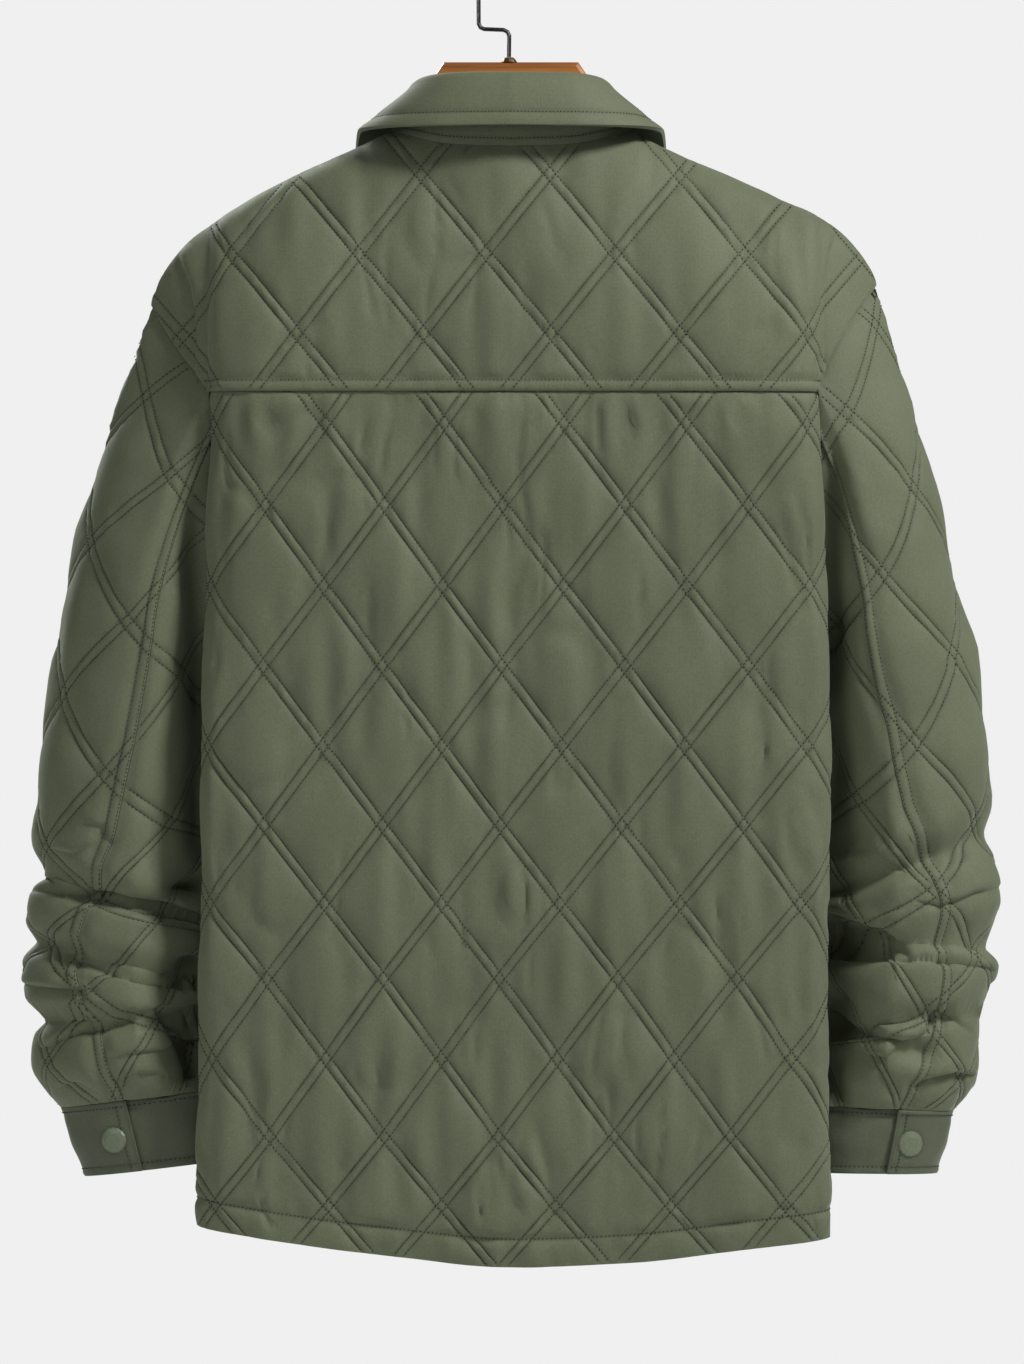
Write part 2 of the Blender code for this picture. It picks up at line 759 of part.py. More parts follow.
def collar_stand():
    rows = [[seam + (fold - seam) * STAND_REACH * share for share in (0.0, 0.5, 1.0)]
            for seam, fold, _ in whole_collar()]
    points = np.swapaxes(np.array(rows), 0, 1)
    return Cloth("collar_stand", [plain_net(points)], backing=STAND_WALL, finish="plain_cloth")


def collar_fall():
    rows = []
    for seam, fold, edge in whole_collar():
        out = edge - fold
        out[2] = 0
        out = unit(out)
        top = seam + (fold - seam) * STAND_REACH
        crest = fold + out * ROLL / 2 + (0, 0, ROLL_RISE)
        turn = fold + out * ROLL - (0, 0, ROLL_DROP)
        middle = turn + (edge - turn) / 2 + out * FALL_BOW
        rows.append([top, top + (fold - top) * ROLL_FOOT, crest, turn, middle, edge])
    points = np.swapaxes(np.array(rows), 0, 1)
    return Cloth("collar_fall", [plain_net(points)], backing=STAND_WALL, finish="plain_cloth")


# Snaps


def turned(name, profile, steps, finish):
    """A profile of radius and height turned about its own upright axis."""
    mesh = bpy.data.meshes.new(name)
    points = [(radius * MM, 0, height * MM) for radius, height in profile]
    mesh.from_pydata(points, [(i, i + 1) for i in range(len(points) - 1)], [])
    made = part_object(name, mesh, finish)
    screw = made.modifiers.new("turn", "SCREW")
    screw.steps = screw.render_steps = steps
    screw.use_merge_vertices = True
    screw.merge_threshold = 0.00001
    screw.use_smooth_shade = True
    return made


def snap(name, place, direction):
    """A snap cap whose foot is just clear of the cloth, facing along the given direction."""
    profile = [(SNAP_RADIUS * radius, SNAP_RISE * rise) for radius, rise in SNAP_PROFILE]
    made = turned(name, profile, 16, "snap_caps")
    direction = Vector(direction)
    seat = (Vector(place) + direction * SNAP_SEAT + Vector((CENTRE_X, 0, 0))) * MM
    made.location = seat
    made.rotation_euler = direction.to_track_quat("Z", "Y").to_euler()


def front_snaps():
    top = read(NECK[FRONT], 0) - TOP_SNAP
    low = read(HEM, 0, 2) + LOW_SNAP
    for i in range(FRONT_SNAPS):
        height = top + (low - top) * i / (FRONT_SNAPS - 1)
        under = [placket_point("left", 0.0, height + SNAP_RADIUS * n / 2) for n in range(-2, 3)]
        under = np.array(under)
        lean = unit(np.cross(under[-1] - under[0], (1.0, 0.0, 0.0)))
        proud = max((under - under[2]) @ lean)
        snap(f"snap_front_{i + 1}", under[2] + lean * proud, lean)


def cuff_snap(side):
    column, row = CUFF_SNAP
    share = CUFF_ROWS[row] * 0.5 + CUFF_ROWS[row + 1] * 0.5
    here = np.array(ring_point(cuff_ring(side, share), side, column))
    beside = [np.array(ring_point(cuff_ring(side, share), side, column + n)) for n in (-1, 1)]
    along = beside[1] - beside[0]
    down = np.array(ring_point(cuff_ring(side, 1), side, column))
    down -= ring_point(cuff_ring(side, 0), side, column)
    outward = unit(np.cross(along, down))
    outward *= -1 if outward[1] > 0 else 1
    snap(f"snap_cuff_{side}", here, outward)


# Hanger


def wood_outline():
    """Half the hanger's outline, the top from the centre out and the underside back again."""
    top = list(WOOD_NECK)
    reaches = [abs(Column("left", BACK, cloth).x) for cloth in (*FLAT_CLOTH[4:], 195.0)]
    reaches.append(WOOD_REACH)
    top += [(x, min(read(RIDGE[s], x) for s in SIDES) - WOOD_UNDER) for x in reaches]
    end_x, end_z = top[-1]
    tip = read(WOOD_HEIGHT, end_x)
    round_end = [(end_x + beyond, end_z - tip * share) for beyond, share in WOOD_TIP]
    under = [(x, z - read(WOOD_HEIGHT, x)) for x, z in top[::-1] if x > WOOD_BELLY or x == 0]
    return top + round_end + under


def hanger_wood():
    half = wood_outline()
    outline = half + [(-x, z) for x, z in half[-2:0:-1]]
    net = bmesh.new()
    corners = [net.verts.new(((x + CENTRE_X) * MM, 0, z * MM)) for x, z in outline]
    net.faces.new(corners)
    mesh = bpy.data.meshes.new("hanger_wood")
    net.to_mesh(mesh)
    net.free()
    made = part_object("hanger_wood", mesh, "hanger_wood")
    wall = made.modifiers.new("thickness", "SOLIDIFY")
    wall.thickness = 2 * WOOD_HALF * MM
    wall.offset = 0
    edge = made.modifiers.new("rounding", "BEVEL")
    edge.width = WOOD_EDGE * MM
    edge.segments = 2
    edge.limit_method = "ANGLE"
    edge.angle_limit = math.radians(WOOD_CORNER)
    return made


def hanger_hook():
    """The hook's wire, from its foot up its stem, round the bow and into a rounded end."""
    low = HOOK_RADIUS - WIRE_RADIUS
    route = list(HOOK_STEM)
    for step in range(HOOK_STEPS + 1):
        turn = math.pi * (1 - step / HOOK_STEPS)
        route.append((math.cos(turn) * HOOK_RADIUS, math.sin(turn) * HOOK_RADIUS - low))
    thick = [1.0] * len(route)
    for drop, radius in HOOK_END:
        route.append((HOOK_RADIUS, -low - drop))
        thick.append(radius)
    curve = bpy.data.curves.new("hanger_hook", "CURVE")
    curve.dimensions = "3D"
    curve.bevel_depth = WIRE_RADIUS * MM
    curve.bevel_resolution = 2
    curve.use_fill_caps = True
    wire = curve.splines.new("POLY")
    wire.points.add(len(route) - 1)
    for point, (x, z), radius in zip(wire.points, route, thick):
        point.co = (x * MM, 0, z * MM, 1)
        point.radius = radius
    return part_object("hanger_hook", curve, "hanger_metal")


pieces = [yoke_back(), back_panel(), collar_stand(), collar_fall()]
for side in SIDES:
    pieces += [front_panel(side), placket(side), cuff(side)]
    pieces += [sleeve_piece(side, "upper"), sleeve_piece(side, "under")]
mate_seams(pieces)
for piece in pieces:
    piece.build()
front_snaps()
for side in SIDES:
    cuff_snap(side)
hanger_wood()
hanger_hook()
turned("hanger_ferrule", FERRULE, 16, "hanger_metal")
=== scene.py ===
import json
import math

import bpy
import numpy as np
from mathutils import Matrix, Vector

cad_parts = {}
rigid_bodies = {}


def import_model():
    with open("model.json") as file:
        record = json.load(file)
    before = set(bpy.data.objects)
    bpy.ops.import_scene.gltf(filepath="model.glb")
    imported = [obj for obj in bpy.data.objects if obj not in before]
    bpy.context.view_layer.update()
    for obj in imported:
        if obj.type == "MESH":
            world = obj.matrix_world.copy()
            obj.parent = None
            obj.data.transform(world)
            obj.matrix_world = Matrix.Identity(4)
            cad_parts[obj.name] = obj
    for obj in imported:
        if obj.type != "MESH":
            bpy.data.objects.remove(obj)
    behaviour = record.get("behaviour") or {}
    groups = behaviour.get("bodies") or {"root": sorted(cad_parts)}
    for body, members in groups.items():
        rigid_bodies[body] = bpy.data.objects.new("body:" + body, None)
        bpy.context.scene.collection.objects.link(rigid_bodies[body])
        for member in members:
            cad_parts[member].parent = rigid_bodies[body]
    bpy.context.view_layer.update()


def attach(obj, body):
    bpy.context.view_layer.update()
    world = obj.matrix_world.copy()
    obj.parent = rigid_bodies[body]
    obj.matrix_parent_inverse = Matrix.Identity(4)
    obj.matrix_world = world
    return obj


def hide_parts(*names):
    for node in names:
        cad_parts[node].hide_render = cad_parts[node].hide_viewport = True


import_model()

bpy.ops.object.select_all(action="DESELECT")

mm = 0.001
sides = {"left": -1, "right": 1}
back, front = -1, 1

# Sizes are in millimetres, from the garment's centre line and the hook's inside top
garment = {
    "centreX": 1.3,        # the garment hangs this far beside the hook
    "seamGap": 0.3,
    "backing": 2.5,        # cloth under the quilting lines
    "yokeLine": -299.0,
    "corner": 207.0,       # cloth from the centre to the panel's fold
    "sideSeam": 254.0,     # and to the side seam
    "neckCloth": 80.8,
    "placketHalf": 17.6,
    "placketStep": 5.6,    # the right front lies this far behind the left one
    "stepRun": 44.0,
    "standEnd": 2.5,
}
body = {
    "widths": {  # height, half width of the back, of the front, of the side seam
        "left": [(-870, 204, 192, 182), (-730, 203, 188, 172), (-600, 201, 186, 168),
                 (-490, 200, 186, 168), (-400, 197, 189, 169), (-330, 195, 193, 171),
                 (-299, 196, 196, 174)],
        "right": [(-870, 208, 196, 186), (-730, 206, 193, 177), (-600, 207, 192, 174),
                  (-490, 207, 192, 174), (-400, 204, 194, 175), (-330, 201, 197, 176),
                  (-299, 200, 200, 178)],
    },
    "depth": [(-870, 50, 48), (-730, 56, 53), (-600, 60, 56), (-400, 62, 57), (-299, 60, 55)],
    # cloth, share of half width, of the turn-in, of depth
    "section": [(0, 0, 0, 1), (100, 0.5, 0, 0.985), (170, 0.85, 0, 0.92), (194, 0.965, 0, 0.81),
                (207, 1, 0, 0.63), (223, 1, 0.3, 0.4), (244, 1, 0.8, 0.13), (254, 1, 1, 0)],
    "ridge": {  # distance from the centre, height of the shoulder line
        "left": [(0, -89), (78, -127), (108, -141.6), (141, -156), (172, -173), (195, -187.7),
                 (209, -198), (221, -212), (231, -229), (235.5, -241)],
        "right": [(0, -89), (78, -127), (108, -141.6), (141, -156), (172, -170), (200, -182.5),
                  (213.5, -191.5), (227, -206), (235, -219), (239.2, -228)],
    },
    # share of the drop below the shoulder line, share of depth
    "fall": [(0, 0), (0.03, 0.2), (0.1, 0.4), (0.3, 0.65), (0.6, 0.88), (1, 1)],
    "armTop": {  # share from the fold to the tip, height
        "left": [(0, -299), (0.25, -286), (0.5, -273), (0.75, -258), (1, -241)],
        "right": [(0, -299), (0.25, -272), (0.5, -254), (0.75, -240), (1, -228)],
    },
    "armSide": [(207, -299), (210, -330), (215.5, -366), (222.5, -402), (231.5, -438),
                (242, -470), (254, -490)],
    # cloth, height of the back hem, of the front hem
    "hem": [(-254, -832, -832), (-203, -841.5, -840), (-140, -852, -850), (-70, -861, -856),
            (0, -867.5, -858), (70, -865, -857), (140, -857, -853), (203, -849, -845),
            (254, -838, -838)],
    "neck": {
        back: [(0, -139), (40, -137), (65, -131.5), (79, -127.5)],
        front: [(0, -207), (17.6, -206), (40, -198), (59, -181), (70, -160), (79, -127.5)],
    },
}


def read(table, at, column=1):
    # One column of a table on a smooth curve with no overshoot
    rows = np.asarray(table, float)
    knots, values = rows[:, 0], rows[:, column]
    step = np.diff(knots)
    slope = np.diff(values) / step
    tangent = np.zeros(len(knots))
    tangent[0], tangent[-1] = slope[0], slope[-1]
    product, total = slope[:-1] * slope[1:], slope[:-1] + slope[1:]
    tangent[1:-1] = np.where(product > 0, 2 * product / np.where(total == 0, 1, total), 0)
    at = np.clip(at, knots[0], knots[-1])
    row = np.clip(np.searchsorted(knots, at, side="right") - 1, 0, len(step) - 1)
    share = (at - knots[row]) / step[row]
    rest = 1 - share
    ends = values[row] * (1 + 2 * share) * rest**2 + values[row + 1] * (3 - 2 * share) * share**2
    bend = tangent[row] * rest - tangent[row + 1] * share
    return ends + step[row] * share * rest * bend


def ease(share):
    share = np.clip(share, 0, 1)
    return share * share * (3 - 2 * share)


def unit(vectors):
    return vectors / np.maximum(np.linalg.norm(vectors, axis=-1, keepdims=True), 1e-9)


def softNoise(x, y, seed):
    # Smooth bumps between -1 and 1, one for each whole number
    table = np.random.RandomState(seed).uniform(-1, 1, (64, 64))
    column, row = np.floor(x).astype(int), np.floor(y).astype(int)
    u, v = ease(x - column), ease(y - row)
    left, right, low, high = column % 64, (column + 1) % 64, row % 64, (row + 1) % 64
    near = table[left, low] * (1 - u) + table[right, low] * u
    far = table[left, high] * (1 - u) + table[right, high] * u
    return near * (1 - v) + far * v


def noiseAt(x, y, size, seed, drift=0.0):
    # The same with bumps of this size
    return softNoise(x / size[0] + drift, y / size[1], seed)


def fade(distance, reach):
    return np.exp(-((distance / reach) ** 2))


# The body's surface

def sectionPoint(side, face, cloth, height):
    wide = read(body["widths"][side], height, 1 if face == back else 2)
    turnIn = wide - read(body["widths"][side], height, 3)
    deep = read(body["depth"], height, 1 if face == back else 2)
    x = wide * read(body["section"], cloth) - turnIn * read(body["section"], cloth, 2)
    return x, face * deep * read(body["section"], cloth, 3)


def armReach(side):
    foldX, _ = sectionPoint(side, back, garment["corner"], garment["yokeLine"])
    return body["ridge"][side][-1][0] - float(foldX)


armReaches = {side: armReach(side) for side in sides}


def sidePoint(side, face, cloth, height):
    # A point of one half of the body; beyond the fold and above the yoke line it is over the armhole
    upper = height > garment["yokeLine"]
    beyond = np.maximum(cloth - garment["corner"], 0)
    inner = np.where(upper, np.minimum(cloth, garment["corner"]), cloth)
    x, y = sectionPoint(side, face, inner, np.minimum(height, garment["yokeLine"]))
    end = np.where(upper, np.clip(beyond / armReaches[side], 0, 1), 0)
    x = x + end * armReaches[side]
    top = read(body["ridge"][side], x)
    foot = read(body["armTop"][side], end)
    drop = (top - height) / np.maximum(top - foot, garment["seamGap"])
    y = y * (1 - end) * np.where(upper, read(body["fall"], drop), 1)
    if face == front and side == "right":
        run = (x - garment["placketHalf"]) / garment["stepRun"]
        y = y - garment["placketStep"] * (1 - ease(run))
    return x, y


def bodyPoint(face, s, height):
    s, height = np.broadcast_arrays(np.asarray(s, float), np.asarray(height, float))
    leftX, leftY = sidePoint("left", face, np.abs(s), height)
    rightX, rightY = sidePoint("right", face, np.abs(s), height)
    return np.stack([np.where(s < 0, -leftX, rightX), np.where(s < 0, leftY, rightY), height], -1)


def armTopHeight(s):
    # Height of the armhole above the yoke line, and of the yoke line inside the fold
    beyond = np.maximum(np.abs(s) - garment["corner"], 0)
    left = read(body["armTop"]["left"], beyond / armReaches["left"])
    right = read(body["armTop"]["right"], beyond / armReaches["right"])
    return np.where(s < 0, left, right)


def shoulderHeight(face, s):
    # Height of the shoulder line or of the neck's edge
    point = bodyPoint(face, s, np.full(np.shape(s), garment["yokeLine"] + 0.01))
    x = np.abs(point[..., 0])
    high = np.where(s < 0, read(body["ridge"]["left"], x), read(body["ridge"]["right"], x))
    neck = read(body["neck"][face], x)
    return np.where(np.abs(s) < garment["neckCloth"], np.minimum(high, neck), high)


# Quilting: two families of double lines, counted in half diamonds across and down

quilting = {
    "pairHalf": 3.0,       # half the width between a pair's two rows of stitches
    "rise": 3.9,           # a diamond's crown over its lines
    "strip": 0.36,         # crown of the strip inside a pair, as a share
    "step": (0.3, 1.5),    # first share of the crown, and the width in which it rises
    "roll": 11.0,          # width in which the rest rises
    "spacing": 63.0,       # between two pairs, square to them
    "lineLength": 66.0,    # along a pair between two crossings
    "stitch": 2.6,         # from stitch to stitch
    "pull": (4.6, 6.5),    # pulls beside the stitches: size along the line, reach beside it
}


def tableLattice(rows, columns, scale, phase):
    # rows: height, count of half diamonds; columns: height, centre, width of a diamond
    rows, columns = np.array(rows, float), np.array(columns, float)
    order = np.argsort(rows[:, 1])

    def forward(s, height):
        count = np.interp(height, rows[:, 0], rows[:, 1])
        centre = np.interp(height, columns[:, 0], columns[:, 1])
        wide = np.interp(height, columns[:, 0], columns[:, 2])
        across = (s * scale - centre) / (wide / 2)
        return (across + count + phase) / 2, (across - count + phase) / 2

    def backward(a, b):
        height = np.interp(a - b, rows[order, 1], rows[order, 0])
        centre = np.interp(height, columns[:, 0], columns[:, 1])
        wide = np.interp(height, columns[:, 0], columns[:, 2])
        return ((a + b - phase) * wide / 2 + centre) / scale, height

    return forward, backward


def cellSamples(low, high, halfCell):
    # Places across the cells, close together beside the stitched lines
    cell = np.array([0, *halfCell, *[quilting["spacing"] - d for d in halfCell[::-1]]])
    cell = np.unique(np.round(cell / quilting["spacing"], 6))
    cell = cell[cell < 1]
    return np.concatenate([n + cell for n in range(math.floor(low), math.ceil(high) + 1)])


# Distances from a pair's middle at which a net has its rows
fineCell = (1.4, 2.5, 3.0, 3.5, 4.5, 6.2, 8.8, 12, 15.5, 19.5, 23.5, 27.5)
frontCell = (1.5, 3.0, 3.7, 5.2, 7.8, 11, 15, 19.5, 24, 28)
coarseCell = (2.4, 4.2, 8, 13, 18, 23, 28)
sparseCell = (3.0, 9, 18, 27)


def quiltRise(a, b):
    # Share of the crown, nothing on the stitched lines, with a low strip inside each pair
    share = 1.0
    first, sharp = quilting["step"]
    for line in (a, b):
        d = np.abs(line - np.round(line)) * quilting["spacing"]
        strip = quilting["strip"] * (1 - (d / quilting["pairHalf"]) ** 3)
        beside = np.maximum(d - quilting["pairHalf"], 0)
        sharpRise = first * (1 - np.exp(-beside / sharp))
        pillow = sharpRise + (1 - first) * (1 - np.exp(-beside / quilting["roll"]))
        share = share * np.where(d < quilting["pairHalf"], strip, pillow)
    return share


def puckers(a, b, seed):
    # Short pulls square to the stitched lines, other ones on each line and each side of it
    size, reach = quilting["pull"]
    total = 0.0
    for line, along, n in ((a, b, 0), (b, a, 1)):
        whole = np.round(line)
        d = np.abs(line - whole) * quilting["spacing"]
        edge = np.abs(d - quilting["pairHalf"])
        t = along * quilting["lineLength"]
        side = np.where(line > whole, 0.37, 0.0)
        pull = softNoise(t / size + 31 * side, whole * 3.7 + side, seed + n)
        total = total + pull * fade(edge, reach)
    return total


def nearLine(x, z, points):
    # Distance to a line of points, positive on its left, and the share of its length there
    points = np.array(points, float)
    length = np.linalg.norm(np.diff(points, axis=0), axis=1)
    best, signed = np.full(np.shape(x), 1e9), np.full(np.shape(x), 1e9)
    along, run = np.zeros(np.shape(x)), 0.0
    for (x0, z0), (x1, z1), size in zip(points[:-1], points[1:], length):
        t = np.clip(((x - x0) * (x1 - x0) + (z - z0) * (z1 - z0)) / size**2, 0, 1)
        d = np.hypot(x - x0 - t * (x1 - x0), z - z0 - t * (z1 - z0))
        turn = (x1 - x0) * (z - z0) - (z1 - z0) * (x - x0)
        closer = d < best
        best = np.where(closer, d, best)
        signed = np.where(closer, np.where(turn > 0, d, -d), signed)
        along = np.where(closer, run + t * size, along)
        run += size
    return signed, along / run


fold = {
    "lip": 1.3,            # width of the sharp step at a fold
    "over": 13.0,          # reach of the roll that laps over
    "under": 8.0,          # reach of the hollow below it
}


def foldField(x, z, folds, pits=()):
    # Folds: points with the lapping side on the left, depth, lift
    # Pits: x, height, two radii, depth
    total = np.zeros(np.shape(x))
    for points, depth, lift in folds:
        d, share = nearLine(x, z, points)
        taper = np.sin(np.pi * np.clip(share, 0, 1)) ** 0.5
        lip = 1 - np.exp(-np.maximum(d, 0) / fold["lip"])
        over = lift * lip * fade(d, fold["over"]) - depth * (1 - lip)
        under = -depth * np.exp(-np.abs(d) / fold["under"])
        total = total + taper * np.where(d > 0, over, under)
    for px, pz, wide, tall, depth in pits:
        total = total - depth * np.exp(-(((x - px) / wide) ** 2) - ((z - pz) / tall) ** 2)
    return total


def foldDistance(x, z, folds):
    return np.min([np.abs(nearLine(x, z, points)[0]) for points, *_ in folds], axis=0)


# Cut pieces as walls

netting = {
    "border": 40,          # places along each side of a piece's range
    "snap": 0.5,           # points this near the outline move onto it
    "outlineStep": 0.2,    # half step for the outline's slope, and the least slope
    "leastSlope": 0.05,
    "normalStep": 0.4,     # half step for a surface's normals
    # places beside an inner point where the outer side may dip
    "dips": ((0, 0), (1.5, 0), (-1.5, 0), (3, 0), (-3, 0), (4.5, 0), (-4.5, 0), (0, 3), (0, -3)),
}


def cellCorners(shape):
    # The numbers of the four corners of each cell of a grid
    number = np.arange(shape[0] * shape[1]).reshape(shape)
    corners = number[:-1, :-1], number[1:, :-1], number[1:, 1:], number[:-1, 1:]
    return np.stack([corner.ravel() for corner in corners], 1)


def clipTriangles(p, q, triangles, inside):
    # Cuts a flat net along the piece's outline and keeps what lies inside
    state = inside[triangles] > 0
    count = state.sum(1)
    kept = [triangles[count == 3]]
    mixed = triangles[(count == 1) | (count == 2)]
    flags = inside[mixed] > 0
    single = flags.sum(1) == 1
    lone = np.where(single, flags.argmax(1), (~flags).argmax(1))
    rolled = np.stack([mixed[np.arange(len(mixed)), (lone + n) % 3] for n in range(3)], 1)
    edges = np.sort(np.concatenate([rolled[:, [0, 1]], rolled[:, [0, 2]]]), 1)
    unique, cut = np.unique(edges, axis=0, return_inverse=True)
    cut = cut.reshape(-1) + len(p)
    f0, f1 = inside[unique[:, 0]], inside[unique[:, 1]]
    t = f0 / np.where(f0 == f1, 1, f0 - f1)
    newP = p[unique[:, 0]] + t * (p[unique[:, 1]] - p[unique[:, 0]])
    newQ = q[unique[:, 0]] + t * (q[unique[:, 1]] - q[unique[:, 0]])
    first, second = cut[:len(rolled)], cut[len(rolled):]
    kept.append(np.stack([rolled[single, 0], first[single], second[single]], 1))
    two = ~single
    kept.append(np.stack([first[two], rolled[two, 1], rolled[two, 2]], 1))
    kept.append(np.stack([first[two], rolled[two, 2], second[two]], 1))
    p, q = np.concatenate([p, newP]), np.concatenate([q, newQ])
    triangles = np.concatenate(kept)
    used, triangles = np.unique(triangles, return_inverse=True)
    return p[used], q[used], triangles.reshape(-1, 3)


def twiceArea(p, q, triangles):
    # Positive for triangles that turn to the left
    a, b, c = triangles.T
    return (p[b] - p[a]) * (q[c] - q[a]) - (p[c] - p[a]) * (q[b] - q[a])


def quiltedNet(lattice, limits, ranges, halfCell):
    # A net of triangles whose rows run along the quilting lines, clipped to the piece's outline
    forward, backward = lattice
    (p0, p1), (q0, q1) = ranges
    edge = np.linspace(0, 1, netting["border"])
    borderP = np.concatenate([p0 + (p1 - p0) * edge] * 2 + [p0 + 0 * edge, p1 + 0 * edge])
    borderQ = np.concatenate([q0 + 0 * edge, q1 + 0 * edge] + [q0 + (q1 - q0) * edge] * 2)
    a, b = forward(borderP, borderQ)
    rows = cellSamples(a.min(), a.max(), halfCell)
    columns = cellSamples(b.min(), b.max(), halfCell)
    gridA, gridB = np.meshgrid(rows, columns, indexing="ij")
    p, q = backward(gridA, gridB)
    p, q = p.ravel(), q.ravel()
    inside = limits(p, q)
    near = np.abs(inside) < netting["snap"]
    e = netting["outlineStep"]
    slopeP = (limits(p[near] + e, q[near]) - limits(p[near] - e, q[near])) / (2 * e)
    slopeQ = (limits(p[near], q[near] + e) - limits(p[near], q[near] - e)) / (2 * e)
    size = np.maximum(slopeP**2 + slopeQ**2, netting["leastSlope"])
    p[near] -= inside[near] * slopeP / size
    q[near] -= inside[near] * slopeQ / size
    inside[near] = 1e-6
    cells = cellCorners(gridA.shape)
    cells = cells[(inside[cells] > 0).any(1)]
    triangles = np.concatenate([cells[:, [0, 1, 3]], cells[:, [1, 2, 3]]])
    triangles = np.where((twiceArea(p, q, triangles) < 0)[:, None], triangles[:, ::-1], triangles)
    return clipTriangles(p, q, triangles, inside)


def refinedNet(net, wanted):
    # Halves the edges of the triangles that are wanted, and splits their neighbours to match
    p, q, triangles = net
    chosen = wanted(p[triangles].mean(1), q[triangles].mean(1))
    edges = np.sort(triangles[:, [[0, 1], [1, 2], [2, 0]]], axis=2).reshape(-1, 2)
    unique, edgeOf = np.unique(edges[:, 0] * len(p) + edges[:, 1], return_inverse=True)
    edgeOf = edgeOf.reshape(-1, 3)
    ends = np.stack([unique // len(p), unique % len(p)], 1)
    split = np.zeros(len(unique), bool)
    split[edgeOf[chosen].ravel()] = True
    middle = np.full(len(unique), -1)
    middle[split] = len(p) + np.arange(split.sum())
    p, q = np.concatenate([p, p[ends[split]].mean(1)]), np.concatenate([q, q[ends[split]].mean(1)])
    halves = middle[edgeOf]
    count = (halves >= 0).sum(1)
    kept = [triangles[count == 0]]
    a, b, c, ab, bc, ca = np.concatenate([triangles, halves], 1)[count == 3].T
    kept += [np.stack(shape, 1) for shape in ((a, ab, ca), (ab, b, bc), (ca, bc, c), (ab, bc, ca))]
    for cuts, odd in ((1, halves >= 0), (2, halves < 0)):
        found = count == cuts
        first = odd[found].argmax(1)
        row = np.arange(len(first))
        a, b, c = [triangles[found][row, (first + n) % 3] for n in range(3)]
        ab, bc, ca = [halves[found][row, (first + n) % 3] for n in range(3)]
        if cuts == 1:
            kept += [np.stack([a, ab, c], 1), np.stack([ab, b, c], 1)]
        else:
            kept += [np.stack([c, ca, bc], 1), np.stack([a, b, bc], 1), np.stack([a, bc, ca], 1)]
    return p, q, np.concatenate(kept)


def plainNet(ps, qs):
    # A net of even rows and columns
    gridP, gridQ = np.meshgrid(ps, qs, indexing="ij")
    cells = cellCorners(gridP.shape)
    return gridP.ravel(), gridQ.ravel(), np.concatenate([cells[:, [0, 1, 2]], cells[:, [0, 2, 3]]])


def plainNets(spanP, spanQ, outer, inner):
    # The outer and the inner net of a plain piece
    return [plainNet(np.linspace(*spanP, n), np.linspace(*spanQ, m)) for n, m in (outer, inner)]


def surfaceFrame(surface, p, q, outward):
    # Points of a surface with their outward normals
    e = netting["normalStep"]
    point = surface(p, q)
    alongP = surface(p + e, q) - surface(p - e, q)
    alongQ = surface(p, q + e) - surface(p, q - e)
    return point, outward * unit(np.cross(alongP, alongQ))


def toMesh(name, points, faces):
    mesh = bpy.data.meshes.new(name)
    places = (points + (garment["centreX"], 0, 0)) * mm
    mesh.from_pydata(places.tolist(), [], faces.tolist())
    made = bpy.data.objects.new(name, mesh)
    bpy.context.scene.collection.objects.link(made)
    return made


def rimOf(p, q, triangles, near=None):
    # The net's outline in order from the point nearest a place, the share of its length at each
    # point, and faces that close small breaks in the net
    count = len(p)
    directed = np.concatenate([triangles[:, [0, 1]], triangles[:, [1, 2]], triangles[:, [2, 0]]])
    key = directed[:, 0] * count + directed[:, 1]
    border = directed[~np.isin(key, directed[:, 1] * count + directed[:, 0])]
    after, loops = {}, []
    for start, end in border.tolist():
        after.setdefault(start, []).append(end)
    while after:
        loop = [next(iter(after))]
        while loop[-1] in after:
            here = loop[-1]
            loop.append(after[here].pop())
            if not after[here]:
                del after[here]
        loops.append(loop)
    loops.sort(key=len)
    loop = loops.pop()[:-1]
    fans = [(one[0], one[n + 1], one[n]) for one in loops for n in range(1, len(one) - 2)]
    if near:
        first = int(np.argmin(np.hypot(p[loop] - near[0], q[loop] - near[1])))
        loop = loop[first:] + loop[:first]
    loop = np.array(loop + loop[:1])
    step = np.hypot(np.diff(p[loop]), np.diff(q[loop]))
    share = np.concatenate([[0], np.cumsum(step)]) / step.sum()
    return loop, share, np.array(fans, int).reshape(-1, 3)


def zipRims(outer, inner):
    # Triangles between two outlines
    (a, shareA, _), (b, shareB, _) = outer, inner
    faces, i, j = [], 0, 0
    while i < len(a) - 1 or j < len(b) - 1:
        if j == len(b) - 1 or (i < len(a) - 1 and shareA[i + 1] <= shareB[j + 1]):
            faces.append((a[i + 1], a[i], b[j]))
            i += 1
        else:
            faces.append((a[i], b[j], b[j + 1]))
            j += 1
    return np.array(faces)


